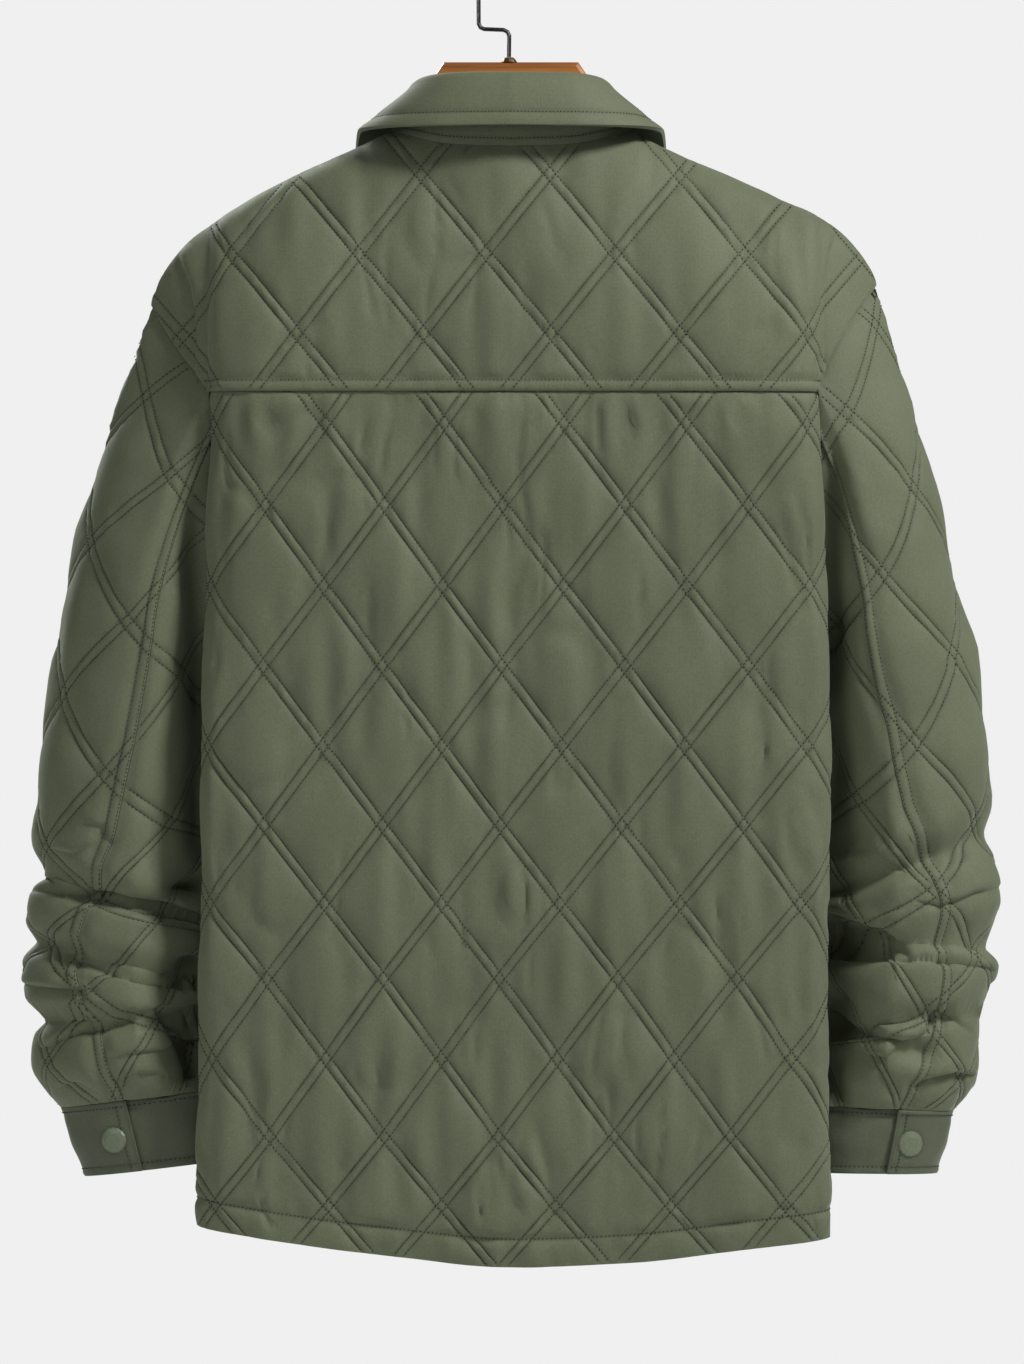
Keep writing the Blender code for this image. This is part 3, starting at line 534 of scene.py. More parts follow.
def clothWall(name, nets, surface, rise, pressed, outward, backing, finish):
    # A wall of cloth: raised outer side, plain inner side from a coarser net, closed round its edge
    (p, q, triangles), (innerP, innerQ, innerTriangles) = nets
    point, normal = surfaceFrame(surface, p, q, outward)
    outer = point + normal * rise(p, q, point, normal)[:, None]
    base, away = surfaceFrame(surface, innerP, innerQ, outward)
    low = np.zeros(len(innerP))
    for dp, dq in netting["dips"]:
        near, turned = surfaceFrame(surface, innerP + dp, innerQ + dq, outward)
        low = np.minimum(low, rise(innerP + dp, innerQ + dq, near, turned))
    inner = base + away * (low - backing)[:, None]
    count = len(p)
    rim = rimOf(p, q, triangles)
    first = rim[0][0]
    innerRim = rimOf(innerP, innerQ, innerTriangles, (p[first], q[first]))
    innerTriangles = np.concatenate([innerTriangles, innerRim[2]])
    side = zipRims(rim, (innerRim[0] + count, *innerRim[1:]))
    faces = np.concatenate([triangles, rim[2], innerTriangles[:, ::-1] + count, side])
    if outward < 0:
        faces = faces[:, ::-1]
    piece = toMesh(name + "_cloth", np.vstack([outer, inner]), faces)
    mesh = piece.data
    uvLayer = mesh.uv_layers.new(name="cloth")
    places = np.stack([np.concatenate([p, innerP]), np.concatenate([q, innerQ])], 1) / 100
    vertexOf = np.zeros(len(mesh.loops), int)
    mesh.loops.foreach_get("vertex_index", vertexOf)
    uvLayer.data.foreach_set("uv", places[vertexOf].astype(np.float32).ravel())
    # Painted shade along the stitched rows and seams, kept as a point attribute for the cloth's
    # colour
    shadeMark = mesh.attributes.new("pressed", "FLOAT", "POINT")
    shadeMark.data.foreach_set("value", np.concatenate([pressed(p, q), 0 * innerP]).astype(np.float32))
    mesh.shade_smooth()
    mesh.set_sharp_from_angle(angle=math.radians(60))
    mesh.materials.append(finish)
    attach(piece, "root")
    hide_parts(name)
    print(name, "outer", len(triangles), "all", len(mesh.polygons), "triangles")
    return piece


# Stitches

def threadPoints(surface, rise, outward, p, q):
    point, normal = surfaceFrame(surface, p, q, outward)
    return point + normal * rise(p, q, point, normal)[:, None], normal


thread = {
    "length": 1.5,
    "radius": 0.56,
    "proud": 0.3,          # how far its middle stands over the cloth
    "shadeReach": 0.9,          # half width of the painted shade along a row of stitches
    "seam": 0.4,           # radius of a strand down in a seam
    "seamCorners": 6,
    "inset": 1.4,          # no stitch lies nearer to the edge
}


def stitchRow(path, limits, reach=thread["inset"]):
    # Even places along a line of (p, q) points, inside the piece: two ends for each stitch
    path = np.asarray(path, float)
    run = np.concatenate([[0], np.cumsum(np.linalg.norm(np.diff(path, axis=0), axis=1))])
    middle = np.arange(quilting["stitch"] / 2, run[-1], quilting["stitch"])
    ends = [np.stack([np.interp(middle + half * thread["length"] / 2, run, path[:, n])
                      for n in (0, 1)], 1) for half in (-1, 1)]
    if not len(middle):
        return np.zeros((0, 4))
    keep = (limits(*ends[0].T) > reach) & (limits(*ends[1].T) > reach)
    return np.concatenate([ends[0][keep], ends[1][keep]], 1)


def quiltStitches(lattice, limits, ranges):
    forward, backward = lattice
    (p0, p1), (q0, q1) = ranges
    cornerP, cornerQ = np.array([p0, p1, p0, p1]), np.array([q0, q0, q1, q1])
    a, b = forward(cornerP, cornerQ)
    half = quilting["pairHalf"] / quilting["spacing"]
    rows = []
    for family in (0, 1):
        own, other = (a, b) if family == 0 else (b, a)
        run = np.arange(other.min() - 1, other.max() + 1, 0.05)
        for line in range(math.floor(own.min()) - 1, math.ceil(own.max()) + 2):
            for offset in (-half, half):
                fixed = np.full(run.shape, line + offset)
                pair = (fixed, run) if family == 0 else (run, fixed)
                rows.append(stitchRow(np.stack(backward(*pair), 1), limits))
    return np.concatenate(rows)


def tube(path, radius, corners):
    # Points and faces of a closed strand along a path
    along = unit(np.gradient(path, axis=0))
    across = unit(np.cross(along, (0.3, 0.2, 1.0)))
    up = np.cross(across, along)
    turn = np.arange(corners) * 2 * np.pi / corners
    ring = across[:, None] * np.cos(turn)[:, None] + up[:, None] * np.sin(turn)[:, None]
    points = np.vstack([(path[:, None] + radius * ring).reshape(-1, 3), path[:1], path[-1:]])
    end = len(path) * corners
    i, j = np.meshgrid(np.arange(0, end - corners, corners), np.arange(corners), indexing="ij")
    k, after = (j + 1) % corners, i + corners
    faces = [np.stack([i + j, after + k, i + k], -1), np.stack([i + j, after + j, after + k], -1)]
    j = np.arange(corners)
    k, last = (j + 1) % corners, end - corners
    tip = 0 * j + end
    faces += [np.stack([tip, j, k], -1), np.stack([tip + 1, last + k, last + j], -1)]
    return points, np.concatenate([part.reshape(-1, 3) for part in faces])


def sewThread(name, rows, surface, rise, outward, seams=()):
    # Each stitch is a small spindle lying on the cloth; a seam is a strand down in the joint
    ends = np.concatenate(rows)
    start, _ = threadPoints(surface, rise, outward, ends[:, 0], ends[:, 1])
    stop, _ = threadPoints(surface, rise, outward, ends[:, 2], ends[:, 3])
    middle, normal = threadPoints(surface, rise, outward, (ends[:, 0] + ends[:, 2]) / 2,
                                  (ends[:, 1] + ends[:, 3]) / 2)
    along = unit(stop - start)
    across = np.cross(along, normal)
    middle = middle + normal * thread["proud"]
    r = thread["radius"]
    ring = [middle + normal * r, middle - normal * r * 0.5 + across * r * 0.87,
            middle - normal * r * 0.5 - across * r * 0.87]
    count = len(ends)
    points = [np.stack([start, *ring, stop], 1).reshape(-1, 3)]
    shape = np.array([(0, 1, 2), (0, 2, 3), (0, 3, 1), (4, 2, 1), (4, 3, 2), (4, 1, 3)])
    faces = [(np.arange(count)[:, None, None] * 5 + shape[None]).reshape(-1, 3)]
    for path in seams:
        more, strand = tube(path, thread["seam"], thread["seamCorners"])
        faces.append(strand + sum(len(part) for part in points))
        points.append(more)
    piece = toMesh(name + "_thread", np.vstack(points), np.vstack(faces))
    piece.data.shade_smooth()
    piece.data.materials.append(shadedThread)
    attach(piece, "root")
    print(name, count, "stitches")
    return piece


def paintedShadeBy(rows, lattice=None):
    # Painted shade, how dark the cloth is painted: along the quilting, and along other rows by
    # distance
    def pressed(p, q):
        total = np.zeros(len(p))
        if lattice:
            for line in lattice[0](p, q):
                d = np.abs(line - np.round(line)) * quilting["spacing"] - quilting["pairHalf"]
                total = np.maximum(total, fade(d, thread["shadeReach"]))
        for distance in rows:
            total = np.maximum(total, fade(distance(p, q), thread["shadeReach"]))
        return total
    return pressed


def sewnPiece(name, nets, surface, rise, outward, rows, pressed, finish=None,
              backing=garment["backing"], seams=()):
    # A cut piece with its stitches, declared as the sheet that it was cut from
    p, q, triangles = nets[0]
    finish = finish or quiltedCloth
    wall = clothWall(name, nets, surface, rise, pressed, outward, backing, finish)
    sewn = sewThread(name, rows, surface, rise, outward, seams)
    area = np.abs(twiceArea(p, q, triangles)).sum() / 2
    flat = (float(np.ptp(p)) * mm, float(np.ptp(q)) * mm)
    print(name, "cut %.3f by %.3f m, %.4f square metres" % (*flat, area * mm * mm))


# Materials

def addNode(nodes, kind, values=None, operation=None):
    # A shader node with its fixed values
    made = nodes.new("ShaderNode" + kind)
    if operation:
        made.operation = operation
    for socket, value in (values or {}).items():
        made.inputs[socket].default_value = value
    return made


weaveLook = {
    "threads": 2400,       # to the metre
    "bands": 0.005,        # of the wave texture for each thread
    "wave": {"Distortion": 1.2, "Detail": 1.0},
    "fleck": {"Scale": 900, "Detail": 2},
    "cloud": {"Scale": 14, "Detail": 4},
    "fleckTone": {"From Min": 0.3, "From Max": 0.7, "To Min": 0.88, "To Max": 1.12},
    "cloudTone": {"From Min": 0.3, "From Max": 0.7, "To Min": 0.93, "To Max": 1.07},
    # painted shade: the cloth's colour falls to this share along the stitched rows
    "paintedShadeTone": {"To Min": 1.0, "To Max": 0.78},
    "roughness": {"To Min": 0.62, "To Max": 0.78},
    "weaveShare": 0.6,     # of the bump's height
}


def makeClothGroup():
    # Fine weave, small unevenness and a little tone, for every cloth, and painted shade along the
    # stitched rows and seams
    group = bpy.data.node_groups.new("padded cloth weave", "ShaderNodeTree")
    for name, kind, value in (("Base", "Color", (0.1, 0.12, 0.07, 1)),
                              ("Weave depth", "Float", 0.2),
                              ("Threads per metre", "Float", weaveLook["threads"])):
        made = group.interface.new_socket(name=name, in_out="INPUT",
                                          socket_type="NodeSocket" + kind)
        made.default_value = value
    for name, kind in (("Color", "Color"), ("Roughness", "Float"), ("Normal", "Vector")):
        group.interface.new_socket(name=name, in_out="OUTPUT", socket_type="NodeSocket" + kind)
    nodes, links = group.nodes, group.links
    into, out = nodes.new("NodeGroupInput"), nodes.new("NodeGroupOutput")
    uv = addNode(nodes, "UVMap")
    uv.uv_map = "cloth"
    place = addNode(nodes, "TexCoord")

    def maths(operation, one, other):
        made = addNode(nodes, "Math", operation=operation)
        links.new(one, made.inputs[0])
        links.new(other, made.inputs[1])
        return made.outputs[0]

    def ranged(source, look):
        made = addNode(nodes, "MapRange", weaveLook[look])
        links.new(source, made.inputs["Value"])
        return made.outputs["Result"]

    def noise(look):
        made = addNode(nodes, "TexNoise", weaveLook[look])
        links.new(place.outputs["Object"], made.inputs["Vector"])
        return made.outputs["Fac"]

    def wave(direction):
        made = addNode(nodes, "TexWave", weaveLook["wave"])
        made.wave_type = "BANDS"
        made.bands_direction = direction
        scale = addNode(nodes, "Math", {1: weaveLook["bands"]}, "MULTIPLY")
        links.new(into.outputs["Threads per metre"], scale.inputs[0])
        links.new(scale.outputs[0], made.inputs["Scale"])
        links.new(uv.outputs["UV"], made.inputs["Vector"])
        return made.outputs["Fac"]

    fleck, cloud = noise("fleck"), noise("cloud")
    tone = maths("MULTIPLY", ranged(cloud, "cloudTone"), ranged(fleck, "fleckTone"))
    # Painted shade: the cloth is darkened along the stitched rows and seams
    shadeMark = addNode(nodes, "Attribute")
    shadeMark.attribute_name = "pressed"
    tone = maths("MULTIPLY", tone, ranged(shadeMark.outputs["Fac"], "paintedShadeTone"))
    tint = addNode(nodes, "VectorMath", operation="SCALE")
    links.new(into.outputs["Base"], tint.inputs[0])
    links.new(tone, tint.inputs["Scale"])
    links.new(tint.outputs["Vector"], out.inputs["Color"])
    links.new(ranged(fleck, "roughness"), out.inputs["Roughness"])
    height = addNode(nodes, "Math", {1: weaveLook["weaveShare"]}, "MULTIPLY_ADD")
    links.new(maths("MAXIMUM", wave("X"), wave("Y")), height.inputs[0])
    links.new(fleck, height.inputs[2])
    bump = addNode(nodes, "Bump", {"Distance": 0.0002})
    links.new(into.outputs["Weave depth"], bump.inputs["Strength"])
    links.new(height.outputs[0], bump.inputs["Height"])
    links.new(bump.outputs["Normal"], out.inputs["Normal"])
    return group


clothGroup = makeClothGroup()


def newMaterial(name, values):
    made = bpy.data.materials.new(name)
    made.use_nodes = True
    nodes = made.node_tree.nodes
    shader = nodes["Principled BSDF"]
    for socket, value in values.items():
        shader.inputs[socket].default_value = value
    return made, nodes, made.node_tree.links, shader


clothSheen = {
    "Specular IOR Level": 0.35,
    "Sheen Roughness": 0.45,
    "Sheen Tint": (0.75, 0.8, 0.68, 1),
}


def clothMaterial(name, colour, depth=0.25, sheen=0.25):
    made, nodes, links, shader = newMaterial(name, {**clothSheen, "Sheen Weight": sheen})
    weave = nodes.new("ShaderNodeGroup")
    weave.node_tree = clothGroup
    weave.inputs["Base"].default_value = (*colour, 1)
    weave.inputs["Weave depth"].default_value = depth
    for name, socket in (("Color", "Base Color"), ("Roughness", "Roughness"), ("Normal", "Normal")):
        links.new(weave.outputs[name], shader.inputs[socket])
    return made


clothColour = (0.122, 0.138, 0.081)
quiltedCloth = clothMaterial("quilted olive cloth", clothColour)
plainCloth = clothMaterial("plain olive cloth", clothColour)
# Darker cloth for the cuffs: painted shade, as they hang in shadow under the bunched sleeves
cuffShadedCloth = clothMaterial("cuff olive cloth", (0.086, 0.1, 0.062))
# Near-black thread: painted shade of the needle holes; the thread itself is about the cloth's olive
shadedThread = clothMaterial("dark green thread", (0.016, 0.021, 0.014), depth=0.1, sheen=0.05)


def hardMaterial(name, dark, light, grain, roughness, values):
    # Two tones mixed by stretched noise, for wood, metal and snaps; grain: scale, stretch, detail
    scale, stretch, detail = grain
    made, nodes, links, shader = newMaterial(name, values)
    place = addNode(nodes, "TexCoord")
    stretched = addNode(nodes, "Mapping", {"Scale": stretch})
    links.new(place.outputs["Object"], stretched.inputs["Vector"])
    noise = addNode(nodes, "TexNoise", {"Scale": scale, "Detail": detail, "Distortion": 0.4})
    links.new(stretched.outputs["Vector"], noise.inputs["Vector"])
    tones = addNode(nodes, "ValToRGB")
    for element, position, colour in zip(tones.color_ramp.elements, (0.36, 0.64), (dark, light)):
        element.position = position
        element.color = (*colour, 1)
    rough = addNode(nodes, "MapRange", {"To Min": roughness - 0.06, "To Max": roughness + 0.06})
    bump = addNode(nodes, "Bump", {"Strength": 0.15, "Distance": 0.0003})
    for socket in (tones.inputs["Fac"], rough.inputs["Value"], bump.inputs["Height"]):
        links.new(noise.outputs["Fac"], socket)
    links.new(tones.outputs["Color"], shader.inputs["Base Color"])
    links.new(rough.outputs["Result"], shader.inputs["Roughness"])
    links.new(bump.outputs["Normal"], shader.inputs["Normal"])
    return made


# By the start of the nodes' names
hardFinishes = {
    "hanger_wood": hardMaterial("varnished brown wood", (0.24, 0.075, 0.014), (0.56, 0.21, 0.04),
                                (60, (0.12, 1, 1), 6), 0.4, {"Coat Weight": 0.3}),
    "hanger_hook": hardMaterial("dark metal wire", (0.07, 0.068, 0.065), (0.13, 0.125, 0.12),
                                (900, (1, 1, 0.3), 4), 0.32, {"Metallic": 1.0}),
    "hanger_ferrule": hardMaterial("worn brass", (0.1, 0.07, 0.035), (0.34, 0.24, 0.11),
                                   (500, (1, 1, 1), 4), 0.38, {"Metallic": 1.0}),
    "snap": hardMaterial("satin olive snap", (0.125, 0.155, 0.095), (0.15, 0.185, 0.115),
                         (700, (1, 1, 1), 4), 0.42, {}),
}
for node in bpy.data.objects:
    wanted = [name for name in hardFinishes if node.name.startswith(name)]
    if node.type == "MESH" and wanted:
        for place in node.material_slots:
            place.material = hardFinishes[wanted[0]]
print("materials made")


# Yoke, back and fronts

gap = garment["seamGap"] / 2
yokeLattice = tableLattice([(-365.3, 4), (-53.3, -2)],
                           [(-300, 26, 82.5), (-150, 24.7, 84)], 0.99, 0)
backLattice = tableLattice(
    [(-960, 13.1), (-870, 11), (-827.5, 10), (-782.6, 9), (-731.9, 8), (-679.9, 7), (-631.2, 6),
     (-580.5, 5), (-529.1, 4), (-477.1, 3), (-425.4, 2), (-372.8, 1), (-320.1, 0), (-58.1, -5)],
    [(-830, -8.4, 73.5), (-580, -7, 77.7), (-340, -5.2, 80.3)], 1.02, 1)


def hemHeight(face, s):
    return read(body["hem"], s, 1 if face == back else 2)


def armReachOf(s):
    return np.where(s < 0, armReaches["left"], armReaches["right"])


def yokeLimits(s, height):
    ends = garment["corner"] + armReachOf(s) - np.abs(s)
    high = shoulderHeight(back, s)
    return np.minimum(np.minimum(height - armTopHeight(s), high - height), ends) - gap


def backLimits(s, height):
    top = read(body["armSide"], np.abs(s)) - height
    low = np.minimum(height - hemHeight(back, s), top)
    return np.minimum(low, garment["sideSeam"] - np.abs(s)) - gap


def frontLimits(side):
    def limits(s, height):
        cloth = np.abs(s)
        upper = np.minimum(height - armTopHeight(s), garment["corner"] + armReachOf(s) - cloth)
        lower = read(body["armSide"], cloth) - height
        arm = np.maximum(upper, lower) + np.maximum(garment["corner"] - cloth, 0)
        edge = np.minimum(s * sides[side] - garment["placketHalf"], garment["sideSeam"] - cloth)
        rows = np.minimum(height - hemHeight(front, s), shoulderHeight(front, s) - height)
        return np.minimum(np.minimum(arm, edge), rows) - gap
    return limits


def bodyCalm(s, height):
    # Less crown beyond the fold, and least beside the armhole
    start, width, lost = panel["foldCalm"]
    cloth = np.abs(s)
    share = 1 - lost * ease((cloth - start) / width)
    near = np.clip((read(body["armSide"], cloth) - height) / panel["armCalm"], 0, 1)
    side = ease((cloth - start - 1) / 10) * (height < garment["yokeLine"])
    return share * (1 - side * (1 - near))


def pinned(rise, d, width=3.5, keep=0.15):
    # Cloth held down along a row of stitches
    return rise * (1 - (1 - keep) * fade(d, width))


panel = {
    "wrinkle": 2.9,        # depth of the soft upright wrinkles
    "wrinkleSize": (12, 62),
    "wrinkleDrift": 0.2,   # sideways, in wrinkles
    "driftSize": (40, 40),
    "broadSize": (31, 75),
    "broadShare": 0.7,
    "crease": 3.6,         # depth of the narrow creases
    "creaseSize": (15, 48),
    "creaseDrift": 0.4,
    "creaseDriftSize": (30, 50),
    "creaseWidth": 0.2,    # as a share of their size
    "creasePlaces": (26, 34),
    "pucker": 0.55,        # depth of the pulls beside the stitches
    "foldCalm": (196, 14, 0.5),  # less crown from this place on, over this width, by this share
    "armCalm": 100,        # and least so near below the armhole
    "hemStitch": 18.5,     # above the hem
    "yokeStitch": 7.3,     # above the yoke seam
    "armLap": 1.7,         # rise of the yoke's roll over the armhole
    "yokeStrip": 1.7,      # rise of the strip between seam and stitches
    "gather": (0.9, 26),   # depth and reach of the gathers below the yoke
    "hemGather": (0.5, 10),
    "seeds": {"yoke": 11, "back": 21, "front": 41, "strip": 5, "gather": 27, "hemGather": 28},
}


def panelRise(lattice, s, height, seed, upright=1.0):
    a, b = lattice[0](s, height)
    calm = bodyCalm(s, height)
    share = quiltRise(a, b)
    drift = panel["wrinkleDrift"] * noiseAt(s, height, panel["driftSize"], seed)
    wrinkle = noiseAt(s, height, panel["wrinkleSize"], seed + 1, drift)
    wrinkle = wrinkle + panel["broadShare"] * noiseAt(s, height, panel["broadSize"], seed + 2)
    drift = panel["creaseDrift"] * noiseAt(s, height, panel["creaseDriftSize"], seed + 5)
    line = noiseAt(s, height, panel["creaseSize"], seed + 4, drift)
    where = ease(1.6 * noiseAt(s, height, panel["creasePlaces"], seed + 6) + 0.25)
    crease = panel["crease"] * upright * calm * share * where * fade(line, panel["creaseWidth"])
    rise = quilting["rise"] * calm * share - crease
    rise = rise + panel["wrinkle"] * upright * calm * wrinkle * (0.25 + 0.75 * share)
    return rise + panel["pucker"] * calm * puckers(a, b, seed + 3)


def yokeRise(s, height, point, normal):
    rise = panelRise(yokeLattice, s, height, panel["seeds"]["yoke"], 0.6)
    above = height - garment["yokeLine"]
    flat = np.abs(s) < garment["corner"] - 6
    rise = pinned(rise, above - panel["yokeStitch"])
    strip = panel["yokeStrip"] * (1 - ((above - 3.4) / 4.2) ** 2)
    strip = strip + 0.2 * softNoise(s / 7, s / 11, panel["seeds"]["strip"])
    rise = np.where((above < panel["yokeStitch"]) & flat, np.maximum(strip, 0), rise)
    edge = np.minimum(shoulderHeight(back, s) - height, above + 30)
    arm = np.maximum(fromArmhole(s, height), 0)
    lap = panel["armLap"] * (1 - np.exp(-arm / 1.2)) * np.exp(-arm / 14)
    lap = lap * ease((np.abs(s) - garment["corner"]) / 5)
    valleys = foldField(point[:, 0], point[:, 2], shoulderFolds) * np.clip(edge / 6, 0, 1)
    return pinned(rise, edge, 5, 0.2) + lap + valleys


# Valleys down each shoulder beside the body: x and height of their points, depth, lift
shoulderFolds = [
    ([(-221, -200), (-216, -212), (-210, -228), (-207, -245), (-206, -262), (-206, -280),
      (-205, -296)], 3.6, 0.7),
    ([(204, -298), (204, -274), (204, -250), (205, -226), (208, -206), (214, -190)], 2.4, 0.6),
]


def fromArmhole(s, height):
    return np.minimum(height - armTopHeight(s), garment["corner"] + armReachOf(s) - np.abs(s))


def besideValley(s, height):
    # Distance from the sides of the valleys, where the net is made finer
    point = bodyPoint(back, s, height)
    return np.maximum(foldDistance(point[:, 0], point[:, 2], shoulderFolds) - 3, 0)


def backRise(s, height, point, normal):
    rise = panelRise(backLattice, s, height, panel["seeds"]["back"])
    below = garment["yokeLine"] - height
    depth, reach = panel["gather"]
    gathers = softNoise(s / 8.5, s / 90, panel["seeds"]["gather"])
    rise = rise + depth * (gathers * np.exp(-below / reach) * (np.abs(s) < 200))
    rise = pinned(rise, below, 4, 0.0) - 0.8 * fade(below, 2.5)
    hem = height - hemHeight(back, s)
    depth, reach = panel["hemGather"]
    rise = pinned(rise, hem - panel["hemStitch"])
    gathers = softNoise(s / 8, s / 60, panel["seeds"]["hemGather"])
    rise = rise + depth * gathers * fade(hem - 16, reach)
    return pinned(rise, hem, 3, 0.5)


def frontRise(s, height, point, normal):
    rise = panelRise(backLattice, s, height, panel["seeds"]["front"])
    hem = height - hemHeight(front, s)
    rise = pinned(rise, hem - panel["hemStitch"])
    edge = np.minimum(np.abs(s) - garment["placketHalf"], shoulderHeight(front, s) - height)
    return pinned(rise, edge, 5, 0.1)


def makePanel(name, lattice, limits, ranges, halfCell, face, rise, rowHeights, shadedRows=(),
              fineRows=()):
    def surface(s, height):
        return bodyPoint(face, s, height)

    def fromRow(rowHeight):
        return lambda s, height: np.abs(height - rowHeight(s))

    distances = [fromRow(rowHeight) for rowHeight in rowHeights] + list(shadedRows)
    detailed = distances + list(fineRows)

    def nearest(s, height):
        return np.min([distance(s, height) for distance in detailed], axis=0)

    net = quiltedNet(lattice, limits, ranges, halfCell)
    for reach in (7, 3):
        net = refinedNet(net, lambda s, height: nearest(s, height) < reach)
    rows = [quiltStitches(lattice, limits, ranges)]
    s = np.arange(*ranges[0], 2.0)
    rows += [stitchRow(np.stack([s, rowHeight(s)], 1), limits, 1.0) for rowHeight in rowHeights]
    nets = (net, quiltedNet(lattice, limits, ranges, sparseCell))
    outward = 1 if face == back else -1
    sewnPiece(name, nets, surface, rise, outward, rows, paintedShadeBy(distances, lattice))


def yokeRow(s):
    return garment["yokeLine"] + panel["yokeStitch"] + 0 * s


def hemRow(face):
    return lambda s: hemHeight(face, s) + panel["hemStitch"]


makePanel("yoke_back", yokeLattice, yokeLimits, ((-244, 244), (-299, -120)), fineCell, back,
          yokeRise, [yokeRow], [fromArmhole], [besideValley])
wide = garment["sideSeam"]
makePanel("back", backLattice, backLimits, ((-wide, wide), (-868, -299)), fineCell, back,
          backRise, [hemRow(back)])
for side, sign in sides.items():
    span = (-wide, -17) if sign < 0 else (17, wide)
    makePanel("front_" + side, backLattice, frontLimits(side), (span, (-860, -120)), frontCell,
              front, frontRise, [hemRow(front)])


# Sleeves

sleeve = {
    # outer x, outer height, inner x, inner height, half depth, forward, angle of the seams
    "rings": {
        "left": [(281, -386, 184, -530, 46, 5, 90), (288, -418, 184, -541, 46, 6, 90),
                 (294, -452, 184, -553, 46, 7, 89), (300, -492, 184, -570, 46, 8, 87),
                 (306, -530, 184, -592, 46, 8, 84), (309.5, -568, 184, -615, 46, 8, 80),
                 (311.5, -592, 184, -632, 47, 8, 74), (303, -613.6, 190, -648, 37, 8, 70),
                 (315, -627, 182, -656, 47, 8, 66), (316, -643, 182, -672, 47, 8, 62),
                 (307, -658, 190, -688, 37, 8, 60), (317.5, -672, 182, -693, 46, 8, 61),
                 (317, -692, 182, -700, 46, 8, 64), (302, -709, 189, -707, 36, 8, 68),
                 (309.5, -721, 184, -716, 43, 8, 72), (310.5, -738, 184, -733, 41, 8, 76),
                 (302, -756, 186, -745, 34, 8, 79), (295, -766, 190, -753, 29, 8, 80)],
        "right": [(278.5, -370.5, 190, -530, 46, 5, 94), (286.5, -407, 190, -541, 46, 6, 94),
                  (293.5, -436, 190, -553, 46, 7, 93), (301, -465, 190, -567, 46, 8, 91),
                  (307, -505, 190, -585, 46, 8, 89), (312, -540, 190, -604, 46, 8, 86),
                  (313, -562, 190, -618, 47, 8, 80), (307.5, -587, 196, -633, 37, 8, 74),
                  (316, -604, 188, -640, 47, 8, 70), (319, -630, 188, -646, 47, 8, 66),
                  (306.8, -662, 196, -652, 37, 8, 65), (315.5, -675, 188, -668, 46, 8, 62),
                  (310, -692, 188, -690, 45, 8, 60), (304, -704, 195, -714, 36, 8, 60),
                  (304.5, -716, 188, -724, 42, 8, 60), (304, -735, 190, -740, 40, 8, 68),
                  (301, -750, 192, -752, 34, 8, 76), (290, -768, 195, -764, 29, 8, 77)],
    },
    # the middle line down which the cloth's length is measured: x, height
    "axis": {
        "left": [(200, -250), (221, -380), (238, -500), (248, -620), (250, -700), (243, -760)],
        "right": [(200, -240), (222, -360), (240, -480), (250, -600), (253, -700), (243, -766)],
    },
    "headRings": 5,
    "headSpread": 0.9,
    "perDegree": 0.911,    # cloth round the sleeve for each degree
    "seamStrip": 5.6,      # from the back seam to its stitches
    "stripRise": 1.2,
    "headSink": 2.4,       # the cloth starts this far under the yoke's roll
    "rows": {              # length down the sleeve, count of half diamonds
        "left": [(-60, -2.3), (56, 0), (353, 6), (443, 9), (760, 17.13)],
        "right": [(-60, -1.6), (20, 0), (348, 6), (430, 8), (760, 16.88)],
    },
    "columns": {           # length down, place round the sleeve, width of a diamond
        "left": [(0, 20, 76), (120, 28, 76), (350, 26.5, 76), (450, 26, 68)],
        "right": [(20, 12, 72), (127, 33, 72), (232, 34, 74), (349, 27, 76), (450, 26, 72)],
    },
    "slope": (55, 55, 110),  # rows rise by this much towards the body, from here, over this width
    "tuck": (16.0, 92),      # the cloth lies flatter beside the body: depth, from this angle
    "fade": 70.0,            # the quilting's crown grows over this length below the armhole
    "wrinkle": 1.4,
    "wrinkleSize": (15, 38),
    "broadSize": (30, 20),
    "broadShare": 0.6,
    "gather": (1.1, 13),     # depth and reach of the gathers above the cuff
    "seed": 61,
    "mapStep": (4.0, 3.0),   # of the tables for angle and length
    "mapLength": (-60, 620),
    "mapRings": (0, 22, 331),
    "spans": {"upper": (1, -96, 96), "under": (-1, 55, 305)},  # side of the seams, angles
    "length": (-20, 560),
    "detail": (10, 4),       # reach of each round of finer net
}


def ringNumbers(side, at):
    rings = [(n, *row) for n, row in enumerate(sleeve["rings"][side])]
    return [read(rings, at, n) for n in range(1, 8)]


def ringPoint(side, numbers, angle, inward=0.0):
    outerX, outerZ, innerX, innerZ, deep, forward, _ = numbers
    turn = np.radians(angle)
    half = np.hypot(outerX - innerX, outerZ - innerZ) / 2
    along = np.cos(turn) * (half - inward) / half
    x = (outerX + innerX) / 2 + along * (outerX - innerX) / 2
    z = (outerZ + innerZ) / 2 + along * (outerZ - innerZ) / 2
    return np.stack([sides[side] * x, forward - np.sin(turn) * (deep - inward), z], -1)


def columnOf(angle, seam):
    turn = np.abs(angle)
    return np.where(turn <= seam, 5 * turn / seam, 5 + 5 * (turn - seam) / (180 - seam))


def armLoop(side, column, face):
    cloth = [(0, 1.0), (1, 0.75), (2, 0.5), (3, 0.25), (4, 0.0)]
    beyond = np.interp(column, *zip(*cloth)) * armReaches[side]
    below = np.interp(column, range(4, 11), [row[0] for row in body["armSide"]])
    upper = column < 4
    cloth = np.where(upper, garment["corner"] + beyond, below)
    height = np.where(upper, read(body["armTop"][side], beyond / armReaches[side]),
                      read(body["armSide"], below))
    x, y = sidePoint(side, face, cloth, np.where(upper, np.maximum(height, -298.99), height))
    return np.stack([sides[side] * x, y, height], -1)


